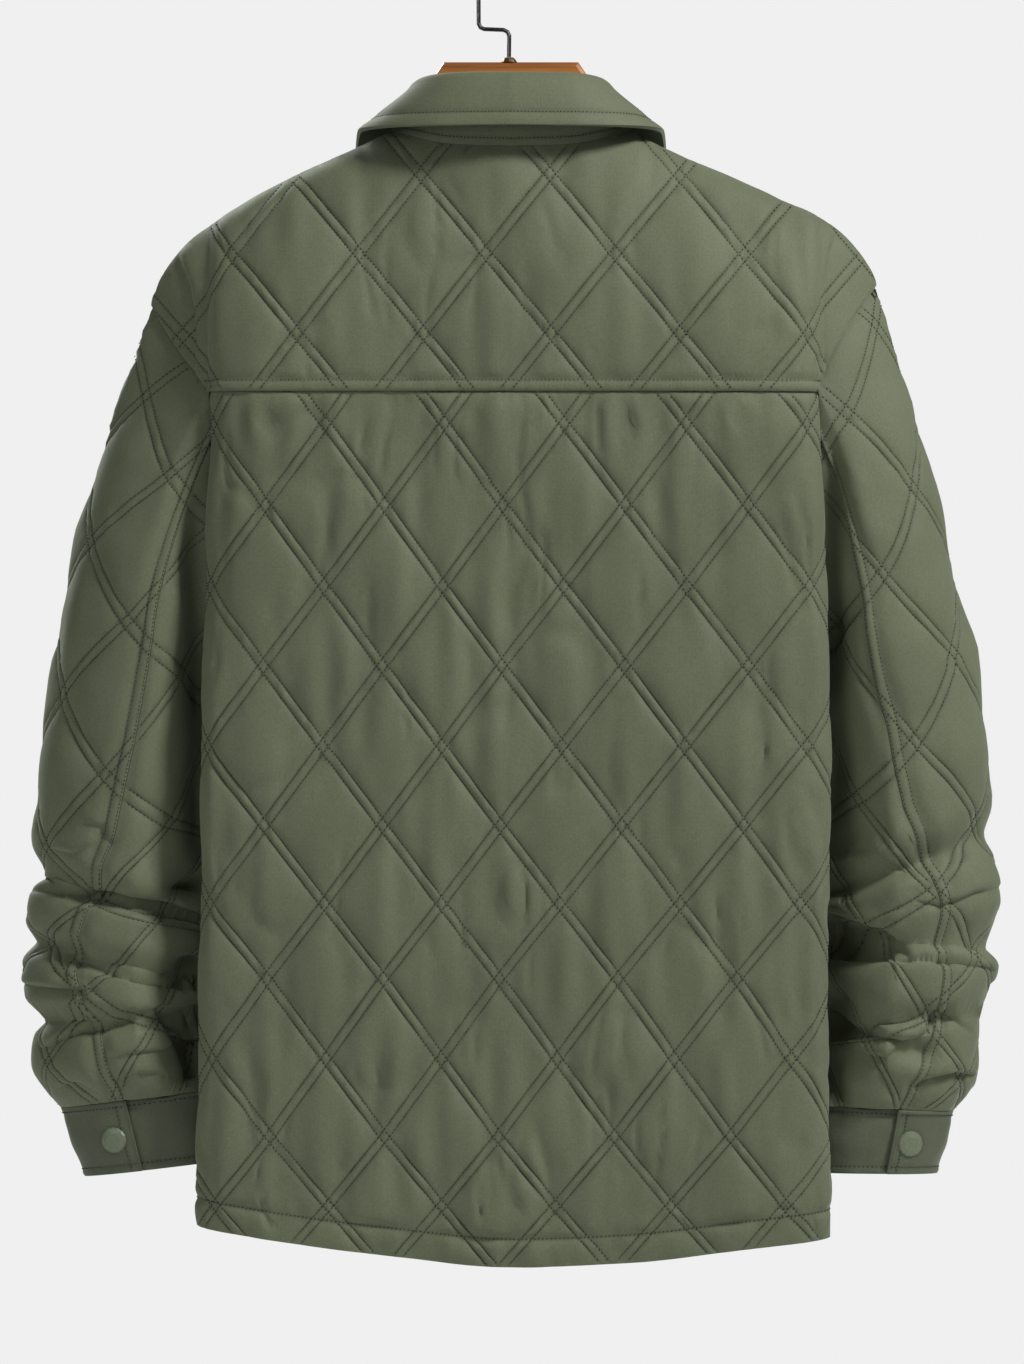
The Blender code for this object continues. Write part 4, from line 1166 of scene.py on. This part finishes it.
def sleevePoint(side, angle, ring):
    # A point at an angle round the sleeve, from the outer edge over the back, and a ring's number
    angle = (np.asarray(angle, float) + 180) % 360 - 180
    first = [np.full(angle.shape, v) for v in sleeve["rings"][side][0]]
    column = columnOf(angle, first[6])
    start = np.where((angle >= 0)[..., None], armLoop(side, column, back),
                     armLoop(side, column, front))
    share = np.clip(ring / sleeve["headRings"], 0, 1)
    sooner = 1 - (1 - share) ** (1 + sleeve["headSpread"] * column / 10)
    end = ringPoint(side, first, angle)
    head = start + (end - start) * np.stack([sooner, share, share], -1)
    lower = ringPoint(side, ringNumbers(side, np.maximum(ring - sleeve["headRings"], 0)), angle)
    return np.where((ring < sleeve["headRings"])[..., None], head, lower)


def alongSleeve(side, x, z):
    # Length down the sleeve's middle line
    axis = np.array([(sides[side] * ax, az) for ax, az in sleeve["axis"][side]], float)
    best, found, run = np.full(np.shape(x), 1e9), np.zeros(np.shape(x)), 0.0
    last = len(axis) - 2
    for n, (p0, p1) in enumerate(zip(axis[:-1], axis[1:])):
        step = p1 - p0
        size = np.hypot(*step)
        t = ((x - p0[0]) * step[0] + (z - p0[1]) * step[1]) / size**2
        t = np.clip(t, -9 if n == 0 else 0, 9 if n == last else 1)
        d = np.hypot(x - p0[0] - t * step[0], z - p0[1] - t * step[1])
        found = np.where(d < best, run + t * size, found)
        best = np.minimum(best, d)
        run += size
    return found


def sleeveMap(side):
    # Tables that give the ring at an angle and a length of cloth down the sleeve
    turnStep, lengthStep = sleeve["mapStep"]
    angles = np.arange(-180, 181, turnStep)
    ringSteps = np.linspace(*sleeve["mapRings"])
    lengths = np.arange(*sleeve["mapLength"], lengthStep)
    rings = np.zeros((len(angles), len(lengths)))
    firsts, lasts = [], []
    for n, angle in enumerate(angles):
        points = sleevePoint(side, np.full(ringSteps.shape, angle), ringSteps)
        run = alongSleeve(side, points[:, 0], points[:, 2])
        run = np.maximum.accumulate(run + np.arange(len(run)) * 1e-4)
        firsts.append(run[0])
        lasts.append(run[-1])
        known = np.concatenate([[run[0] - 200], run, [run[-1] + 200]])
        rings[n] = np.interp(lengths, known, np.concatenate([[-9], ringSteps, [31]]))

    def ringAt(angle, length):
        angle = (angle + 180) % 360 - 180
        row = np.clip((angle + 180) / turnStep, 0, len(angles) - 1.001)
        column = np.clip((length - lengths[0]) / lengthStep, 0, len(lengths) - 1.001)
        i, j = row.astype(int), column.astype(int)
        u, v = row - i, column - j
        near = rings[i, j] * (1 - u) + rings[i + 1, j] * u
        far = rings[i, j + 1] * (1 - u) + rings[i + 1, j + 1] * u
        return near * (1 - v) + far * v

    def edges(angle):
        angle = (angle + 180) % 360 - 180
        return np.interp(angle, angles, firsts), np.interp(angle, angles, lasts)

    return ringAt, edges


# Bunched cloth: x and height of each fold's points on the back, with the lapping side on the
# left, depth, lift
sleeveFolds = {
    "left": [
        ([(-318, -625), (-301, -624), (-280, -625), (-271, -624), (-256, -625), (-242, -628),
          (-228, -631), (-214, -636), (-195, -642)], 5.5, 3.5),
        ([(-324, -684), (-310, -686), (-297, -687), (-276, -688)], 4.5, 3),
        ([(-284, -668), (-272, -672), (-259, -676), (-242, -681), (-224, -684),
          (-192, -684)], 5.5, 3.5),
        ([(-308, -727), (-301, -725), (-290, -718), (-280, -715), (-272, -713), (-263, -712),
          (-246, -709)], 5, 3),
        ([(-212, -748), (-209, -742), (-209, -736), (-216, -725), (-223, -716),
          (-233, -700)], 5, 3),
        ([(-263, -731), (-242, -729), (-228, -727), (-213, -721)], 2.5, 1.5),
        ([(-257, -747), (-242, -742), (-224, -743)], 2.5, 1.5),
        ([(-296, -752), (-282, -748), (-265, -757)], 2, 1.5),
        ([(-300, -596), (-285, -599), (-268, -592)], 2, 1.5),
        ([(-309, -607), (-301, -616), (-290, -627)], 3, 2),
        ([(-280, -578), (-265, -582), (-259, -594)], 1.8, 1.2),
    ],
    "right": [
        ([(192, -634), (207, -639), (217, -642), (230, -647), (243, -651), (252, -657),
          (261, -669)], 6, 3.5),
        ([(251, -668), (268, -668), (283, -668), (297, -670), (306, -671), (322, -680)], 5, 3),
        ([(262, -630), (279, -633), (290, -630), (301, -625), (324, -620)], 2.5, 2),
        ([(190, -706), (210, -710), (221, -712), (233, -715), (246, -719), (255, -721), (264, -720),
          (271, -714), (275, -702)], 6, 3.5),
        ([(218, -722), (233, -731), (244, -732), (255, -724)], 2.5, 1.5),
        ([(271, -700), (286, -706), (300, -717)], 2.5, 1.5),
        ([(262, -751), (275, -745), (290, -743), (306, -745)], 4, 2.5),
        ([(221, -594), (233, -597), (246, -604), (258, -613)], 2.5, 1.5),
        ([(228, -440), (224, -445), (209, -462), (200, -470)], 2.5, 1.5),
    ],
}
# Hollows beside the body: x, height, half width, half height, depth
sleevePits = {
    "left": [(-204, -622, 17, 8, 17), (-204, -675, 17, 9, 16), (-202, -722, 15, 24, 16),
             (-204, -411, 10, 34, 9), (-199, -495, 11, 40, 12), (-199, -570, 11, 30, 13),
             (-198, -750, 12, 18, 12)],
    "right": [(222, -661, 26, 9, 15), (220, -593, 18, 12, 5), (266, -729, 11, 8, 9),
              (206, -702, 14, 16, 16), (205, -655, 12, 16, 9), (209, -368, 9, 38, 8),
              (205, -462, 10, 34, 10), (206, -552, 11, 34, 11), (200, -750, 11, 18, 12)],
}
hiddenShift = 9.0          # the front's folds lie this much lower


def sleeveLattice(side):
    forward, backward = tableLattice(sleeve["rows"][side], sleeve["columns"][side], 1, 0)
    rise, start, width = sleeve["slope"]
    whole = 360 * sleeve["perDegree"]

    def slope(p):
        turn = np.abs((p + whole / 2) % whole - whole / 2)
        return rise * ease((turn - start) / width)

    def place(a, b):
        p, q = backward(a, b)
        return p, q - slope(p)

    return lambda p, q: forward(p, q + slope(p)), place


def makeSleeve(side):
    ringAt, edges = sleeveMap(side)
    perDegree, seed = sleeve["perDegree"], sleeve["seed"]
    lattice = sleeveLattice(side)
    outward = 1 if side == "right" else -1
    seams = [row[6] for row in sleeve["rings"][side]]
    folds, pits = sleeveFolds[side], sleevePits[side]

    def seamAngle(ring):
        return np.interp(ring - sleeve["headRings"], range(len(seams)), seams)

    def around(p):
        return (p / perDegree + 180) % 360 - 180

    def surface(p, q):
        point = sleevePoint(side, p / perDegree, ringAt(p / perDegree, q))
        depth, start = sleeve["tuck"]
        low, high = edges(p / perDegree)
        share = np.sin(np.pi * np.clip((np.abs(around(p)) - start) / (180 - start), 0, 1))
        share = share * ease((q - low) / sleeve["fade"]) * ease((high - q) / 30)
        point[..., 1] += depth * share * np.sign(around(p))
        return point

    def fromSeam(p, q):
        return (seamAngle(ringAt(p / perDegree, q)) - np.abs(around(p))) * perDegree

    def ends(p, q):
        low, high = edges(p / perDegree)
        return np.minimum(q - low, high - q)

    def rise(p, q, point, normal):
        a, b = lattice[0](p, q)
        low, high = edges(p / perDegree)
        calm = np.clip((q - low) / sleeve["fade"], 0, 1)
        turn = np.abs(around(p))
        share = quiltRise(a, b)
        total = quilting["rise"] * calm * (1 - 0.4 * ease((turn - 95) / 25)) * share
        wrinkle = noiseAt(p, q, sleeve["wrinkleSize"], seed)
        wrinkle = wrinkle + sleeve["broadShare"] * noiseAt(p, q, sleeve["broadSize"], seed + 1)
        total = total + sleeve["wrinkle"] * calm * wrinkle * (0.3 + 0.7 * share)
        total = total + panel["pucker"] * calm * puckers(a, b, seed + 2)
        seam = fromSeam(p, q)
        onStrip = (seam > 0) & (seam < sleeve["seamStrip"])
        head = sleeve["headSink"] * np.exp(-np.maximum(q - low, 0) / 6) * ease((80 - turn) / 15)
        strip = sleeve["stripRise"] * (1 - ((seam - 2.8) / 3.2) ** 2)
        beside = np.maximum(np.where(seam > 0, seam - sleeve["seamStrip"], -seam), 0)
        total = np.where(onStrip, np.maximum(strip, 0), pinned(total, beside, 4, 0.1))
        depth, reach = sleeve["gather"]
        total = total + depth * softNoise(p / 5.5, q / 60, seed + 3) * np.exp(-(high - q) / reach)
        x, z = point[:, 0], point[:, 2]
        bunched = foldField(x, z, folds, pits) * ease(0.3 - 1.6 * normal[:, 1])
        hidden = foldField(x, z + hiddenShift, folds) * ease(0.3 + 1.6 * normal[:, 1])
        bunched = (bunched + hidden) * np.clip((high - q) / 10, 0, 1)
        return pinned(total, high - q, 6, 0.2) - head + bunched

    def nearDetail(reach):
        def wanted(p, q):
            point = surface(p, q)
            shift = np.where(around(p) > 0, 0, hiddenShift)
            near = foldDistance(point[:, 0], point[:, 2] + shift, folds) < reach
            near = near | (np.abs(fromSeam(p, q) - 3) < 3 + reach / 4)
            near = near | (fromHead(p, q) < reach / 2)
            return near & ((around(p) > 0) | (reach == sleeve["detail"][0]))
        return wanted

    def fromHead(p, q):
        return np.abs(q - edges(p / perDegree)[0])

    def fromStrip(p, q):
        return np.abs(fromSeam(p, q) - sleeve["seamStrip"])

    for kind, (sign, low, high) in sleeve["spans"].items():
        ranges = ((low * perDegree, high * perDegree), sleeve["length"])

        def limits(p, q, sign=sign, span=ranges[0]):
            once = np.minimum(p - span[0], span[1] - p)
            return np.minimum(np.minimum(sign * fromSeam(p, q), ends(p, q)), once) - gap

        net = quiltedNet(lattice, limits, ranges, fineCell)
        for reach in sleeve["detail"]:
            net = refinedNet(net, nearDetail(reach))
        rows = [quiltStitches(lattice, limits, ranges)]
        if kind == "upper":
            run = np.arange(0, sleeve["length"][1], 3.0)
            for edge in (-1, 1):
                p = np.full(run.shape, 85.0 * perDegree * edge)
                for offset in (sleeve["seamStrip"], 0.9):
                    for _ in range(4):
                        p = edge * (seamAngle(ringAt(p / perDegree, run)) * perDegree - offset)
                    rows.append(stitchRow(np.stack([p, run], 1), limits, 0.3))
        nets = (net, quiltedNet(lattice, limits, ranges, coarseCell))
        sewnPiece("sleeve_" + side + "_" + kind, nets, surface, rise, outward, rows,
                  paintedShadeBy([fromStrip, fromHead], lattice))


for side in sides:
    makeSleeve(side)


# Cuffs

cuff = {
    "foot": {"left": (279, -811, 186, -800, 28, 8), "right": (279, -809, 192, -808, 28, 8)},
    "lap": 2,              # columns of twenty by which the ends lap
    "step": 3.9,           # the under end lies this far inside the flap
    "dive": [(-17, 1), (-15, 1), (-14, 0.85), (-13, 0.4), (-12, 0), (5, 0)],
    "perColumn": 13.2,
    "height": 46.0,
    "edgeStitch": 5.0,
    "roll": 0.9,
    "uneven": 0.8,
    "capShadeRing": 9.2,        # a ring of painted shade round the snap at this distance from its middle
    "nets": ((220, 34), (90, 9)),
    "seed": 71,
}


def makeCuff(side):
    outward = 1 if side == "right" else -1
    top = sleeve["rings"][side][-1]
    foot = (*cuff["foot"][side], top[-1])

    def surface(p, q):
        column = p / cuff["perColumn"]
        share = q / cuff["height"]
        numbers = [a + (b - a) * share for a, b in zip(top, foot)]
        turn = (column + 10) % 20 - 10
        seam = top[-1]
        angle = np.where(np.abs(turn) <= 5, seam * np.abs(turn) / 5,
                         seam + (180 - seam) * (np.abs(turn) - 5) / 5) * np.sign(turn)
        dive = np.interp(column, *zip(*cuff["dive"]))
        return ringPoint(side, numbers, angle, cuff["step"] * dive)

    def rise(p, q, point, normal):
        edge = np.minimum(q, cuff["height"] - q)
        total = cuff["roll"] * (1 - np.exp(-np.abs(edge - cuff["edgeStitch"]) / 4))
        total = total + cuff["uneven"] * softNoise(p / 15, q / 12, cuff["seed"])
        return total * np.clip(edge / 2, 0.1, 1)

    low, high = (5 - 20 - cuff["lap"]) * cuff["perColumn"], 5 * cuff["perColumn"]

    def limits(p, q):
        return np.minimum(np.minimum(q, cuff["height"] - q), np.minimum(p - low, high - p))

    nets = plainNets((low, high), (gap, cuff["height"]), *cuff["nets"])
    run = np.arange(low, high, 2.0)
    levels = (3.5, cuff["height"] - cuff["edgeStitch"])
    rows = [stitchRow(np.stack([run, 0 * run + y], 1), limits) for y in levels]
    down = np.arange(0, cuff["height"], 2.0)
    uprights = (1.2, sleeve["seamStrip"] + 1)
    rows += [stitchRow(np.stack([0 * down + high - x, down], 1), limits) for x in uprights]

    capBox = bpy.data.objects["snap_cuff_" + side].bound_box
    cap = np.mean([corner[:] for corner in capBox], axis=0) / mm
    cap[0] -= garment["centreX"]

    # Distance from the stitched rows and from the ring of painted shade round the snap
    def fromRows(p, q):
        fromCap = np.linalg.norm(surface(p, q) - cap, axis=-1)
        near = [np.abs(q - y) for y in levels] + [np.abs(high - x - p) for x in uprights]
        return np.min(near + [np.abs(fromCap - cuff["capShadeRing"])], axis=0)

    sewnPiece("cuff_" + side, nets, surface, rise, outward, rows, paintedShadeBy([fromRows]), cuffShadedCloth)


for side in sides:
    makeCuff(side)


# Plackets

placket = {
    "length": 650.0,
    "edgeStitch": 5.5,
    "rise": 0.9,
    "uneven": 0.25,
    "nets": ((30, 170), (9, 60)),
    "seed": 81,
}


def makePlacket(side):
    sign = sides[side]

    def surface(p, q):
        # p from the own front's edge over the centre, q a share of the height
        x = sign * (garment["placketHalf"] - p)
        low = read(body["hem"], x, 2)
        top = read(body["neck"][front], np.abs(x))
        height = low + (top - low) * q / placket["length"]
        deep = sidePoint(side, front, np.abs(x), height)[1]
        return np.stack([x, deep, height], -1)

    def rise(p, q, point, normal):
        edge = np.minimum(p, 2 * garment["placketHalf"] - p)
        total = placket["rise"] * (1 - np.exp(-np.abs(edge - placket["edgeStitch"]) / 2.5))
        uneven = placket["uneven"] * softNoise(p / 12, q / 22, placket["seed"])
        return total * np.clip(edge / 1.5, 0.1, 1) + uneven

    wide = 2 * garment["placketHalf"]

    def limits(p, q):
        return np.minimum(np.minimum(p, wide - p), np.minimum(q, placket["length"] - q))

    nets = plainNets((gap, wide), (0, placket["length"]), *placket["nets"])
    run = np.arange(2, placket["length"] - 2, 2.0)
    uprights = (placket["edgeStitch"], wide - placket["edgeStitch"])
    rows = [stitchRow(np.stack([0 * run + x, run], 1), limits) for x in uprights]

    def fromRows(p, q):
        return np.min([np.abs(p - x) for x in uprights], axis=0)

    sewnPiece("placket_" + side, nets, surface, rise, sign, rows, paintedShadeBy([fromRows]), plainCloth)


for side in sides:
    makePlacket(side)


# Collar

collar = {
    # share of the neck from centre back to front: fold x, y, height; edge x, y, height
    "rows": [(0, 0, -38, -95.5, 0, -53, -126), (0.2, 34, -34, -95.5, 42, -50, -126.5),
             (0.38, 55, -17, -98.5, 82, -31, -127), (0.5, 60, 1, -105, 98, -2, -128),
             (0.64, 56, 22, -119, 101, 27, -146), (0.82, 39, 42, -148, 88, 53, -182),
             (1, 6, 54, -171, 64, 67, -216)],
    "standReach": 0.84,
    "wall": 2.8,
    "roll": 8.0,
    "rollRise": 1.5,
    "rollDrop": 2.5,
    "rollFoot": 0.8,
    "bow": 1.5,
    "edgeStitch": 8.5,
    "stand": 36.0,         # cloth up the stand
    "standStitch": 5.0,
    "fall": (0, 5.6, 10.2, 15.9, 30, 44.0),  # cloth down the fall to each point of its section
    "nets": {"stand": ((200, 26), (80, 7)), "fall": ((260, 38), (90, 12))},
    "seeds": {"stand": 91, "fall": 93},
}
fallDepth = collar["fall"][-1]


def neckLine(side):
    cloth = np.linspace(0, garment["neckCloth"] - 0.01, 40)
    backPart = np.stack([cloth, 0 * cloth, shoulderHeight(back, cloth * sides[side])], 1)
    x, y = sidePoint(side, back, cloth, backPart[:, 2])
    line = [np.stack([x, y, backPart[:, 2]], 1)]
    cloth = np.linspace(garment["neckCloth"] - 0.01, garment["placketHalf"], 60)
    height = shoulderHeight(front, cloth * sides[side])
    x, y = sidePoint(side, front, cloth, height)
    line.append(np.stack([x, y, height], 1))
    x = np.linspace(garment["placketHalf"], garment["standEnd"], 10)
    height = read(body["neck"][front], x)
    line.append(np.stack([x, sidePoint(side, front, x, height)[1], height], 1))
    line = np.concatenate(line)
    run = np.concatenate([[0], np.cumsum(np.linalg.norm(np.diff(line, axis=0), axis=1))])
    return line * (sides[side], 1, 1), run


necks = {side: neckLine(side) for side in sides}
neckHalf = sum(necks[side][1][-1] for side in sides) / 2


def collarRow(p):
    # Seam, fold and edge at a length round the neck from the centre back
    found = []
    share = np.clip(np.abs(p) / neckHalf, 0, 1)
    for side in sides:
        line, run = necks[side]
        seam = np.stack([np.interp(share, run / run[-1], line[:, n]) for n in range(3)], -1)
        numbers = [read(collar["rows"], share, n) for n in range(1, 7)]
        mirror = np.array([sides[side], 1, 1])
        found.append((seam, np.stack(numbers[:3], -1) * mirror, np.stack(numbers[3:], -1) * mirror))
    left = (p < 0)[..., None]
    return [np.where(left, a, b) for a, b in zip(*found)]


def standSurface(p, q):
    seam, fold, _ = collarRow(p)
    return seam + (fold - seam) * (collar["standReach"] * q / collar["stand"])[..., None]


def fallBase(p, q):
    seam, fold, edge = collarRow(p)
    out = edge - fold
    out[..., 2] = 0
    out = unit(out)
    up = np.array([0, 0, 1.0])
    top = seam + (fold - seam) * collar["standReach"]
    crest = fold + out * collar["roll"] / 2 + up * collar["rollRise"]
    turn = fold + out * collar["roll"] - up * collar["rollDrop"]
    middle = turn + (edge - turn) / 2 + out * collar["bow"]
    knots = np.array(collar["fall"])
    points = np.stack([top, top + (fold - top) * collar["rollFoot"], crest, turn, middle, edge], -2)
    slope = np.diff(points, axis=-2) / np.diff(knots)[:, None]
    tangent = np.concatenate([slope[..., :1, :], (slope[..., 1:, :] + slope[..., :-1, :]) / 2,
                              slope[..., -1:, :]], -2)
    row = np.clip(np.searchsorted(knots, q, side="right") - 1, 0, 4)
    step = np.diff(knots)[row]
    t = ((q - knots[row]) / step)[..., None]
    index = np.arange(len(p))
    a, b = points[index, row], points[index, row + 1]
    ta, tb = tangent[index, row] * step[..., None], tangent[index, row + 1] * step[..., None]
    return (a * (2 * t**3 - 3 * t**2 + 1) + ta * (t**3 - 2 * t**2 + t) + b * (3 * t**2 - 2 * t**3)
            + tb * (t**3 - t**2))


def fallSurface(p, q):
    point, normal = surfaceFrame(fallBase, p, q, -1)
    return point + normal * collar["wall"]


def standRise(p, q, point, normal):
    uneven = 0.2 * softNoise(p / 9, q / 12, collar["seeds"]["stand"])
    return 0.5 * (1 - np.exp(-np.abs(q - 6) / 3)) + uneven


def fallLimits(p, q):
    return np.minimum(fallDepth - q, neckHalf - np.abs(p))


def fallRise(p, q, point, normal):
    edge = fallLimits(p, q)
    total = 1.1 * (1 - np.exp(-np.abs(edge - collar["edgeStitch"]) / 3.5)) - 0.6
    uneven = 0.45 * softNoise(p / 26, q / 16, collar["seeds"]["fall"]) * np.clip(edge / 8, 0, 1)
    return total * np.clip(edge / 2, 0, 1) + uneven


def anywhere(p, q):
    return 0 * p + 9


def fromStandRow(p, q):
    return np.abs(q - collar["standStitch"])


def fromFallRow(p, q):
    return np.abs(fallLimits(p, q) - collar["edgeStitch"])


neckSpan = (-neckHalf, neckHalf)
run = np.arange(-neckHalf + 4, neckHalf - 4, 2.0)
nets = plainNets(neckSpan, (gap, collar["stand"] - gap), *collar["nets"]["stand"])
rows = [stitchRow(np.stack([run, 0 * run + collar["standStitch"]], 1), anywhere)]
neckSeam = collarRow(np.linspace(-neckHalf + 2, neckHalf - 2, 160))[0]
sewnPiece("collar_stand", nets, standSurface, standRise, 1, rows, paintedShadeBy([fromStandRow]),
          plainCloth, collar["wall"], [neckSeam])
nets = plainNets(neckSpan, (gap, fallDepth), *collar["nets"]["fall"])
down = np.arange(18, fallDepth, 2.0)
rows = [stitchRow(np.stack([run, 0 * run + fallDepth - collar["edgeStitch"]], 1), fallLimits, 7)]
for end in (-1, 1):
    rows.append(stitchRow(np.stack([0 * down + end * (neckHalf - 8), down], 1), fallLimits))
sewnPiece("collar_fall", nets, fallSurface, fallRise, -1, rows, paintedShadeBy([fromFallRow]),
          plainCloth, collar["wall"])


# Floor, light and camera

stageLight = {
    "world": 0.87,         # what the camera sees behind the garment
    "fill": 0.15,          # what lights it from all round
    "floor": -1.16,        # height in metres, as the lights' and the camera's places
    # place, target, size, watts
    "key": ((2.1, -1.4, 1.9), (0, 0, -0.45), 0.7, 116),
    "soft front": ((-1.9, -2.9, 0.4), (0, 0, -0.4), 1.5, 22),
    "far side": ((-1.8, 2.6, 1.2), (0, 0, -0.45), 1.6, 70),
}

bpy.ops.mesh.primitive_plane_add(size=4.0, location=(0, 0.6, stageLight["floor"]))
floor = bpy.context.object
floor.name = "floor"
floorFinish, *_ = newMaterial("pale floor", {"Base Color": (0.8, 0.8, 0.8, 1), "Roughness": 0.9})
floor.data.materials.append(floorFinish)

world = bpy.data.worlds.new("pale studio")
bpy.context.scene.world = world
world.use_nodes = True
worldNodes, worldLinks = world.node_tree.nodes, world.node_tree.links
seen = worldNodes["Background"]
seen.inputs["Color"].default_value = (1, 1, 1, 1)
seen.inputs["Strength"].default_value = stageLight["world"]
ambient = addNode(worldNodes, "Background",
                  {"Color": (0.97, 0.98, 1, 1), "Strength": stageLight["fill"]})
path = addNode(worldNodes, "LightPath")
mixed = addNode(worldNodes, "MixShader")
worldLinks.new(path.outputs["Is Camera Ray"], mixed.inputs["Fac"])
worldLinks.new(ambient.outputs["Background"], mixed.inputs[1])
worldLinks.new(seen.outputs["Background"], mixed.inputs[2])
worldLinks.new(mixed.outputs["Shader"], worldNodes["World Output"].inputs["Surface"])


def areaLight(name):
    place, target, size, watts = stageLight[name]
    data = bpy.data.lights.new(name, "AREA")
    data.shape = "SQUARE"
    data.size = size
    data.energy = watts
    lamp = bpy.data.objects.new(name, data)
    bpy.context.scene.collection.objects.link(lamp)
    lamp.location = place
    lamp.rotation_euler = (Vector(target) - Vector(place)).to_track_quat("-Z", "Y").to_euler()


for name in ("key", "soft front", "far side"):
    areaLight(name)

view = bpy.context.scene.view_settings
view.view_transform = "Standard"
view.look = "None"

cameraPlace = (0.002, -6.0, -0.4875)
frameWidth, backDepth = 0.6656, 0.04   # what the photo's width spans at the back's depth
cameraData = bpy.data.cameras.new("camera")
camera = bpy.data.objects.new("camera", cameraData)
bpy.context.scene.collection.objects.link(camera)
camera.location = cameraPlace
camera.rotation_euler = (math.radians(90), 0, 0)
cameraData.sensor_fit = "HORIZONTAL"
cameraData.sensor_width = 36
cameraData.lens = cameraData.sensor_width * (-cameraPlace[1] - backDepth) / frameWidth
cameraData.clip_end = 20
bpy.context.scene.camera = camera
print("stage made")
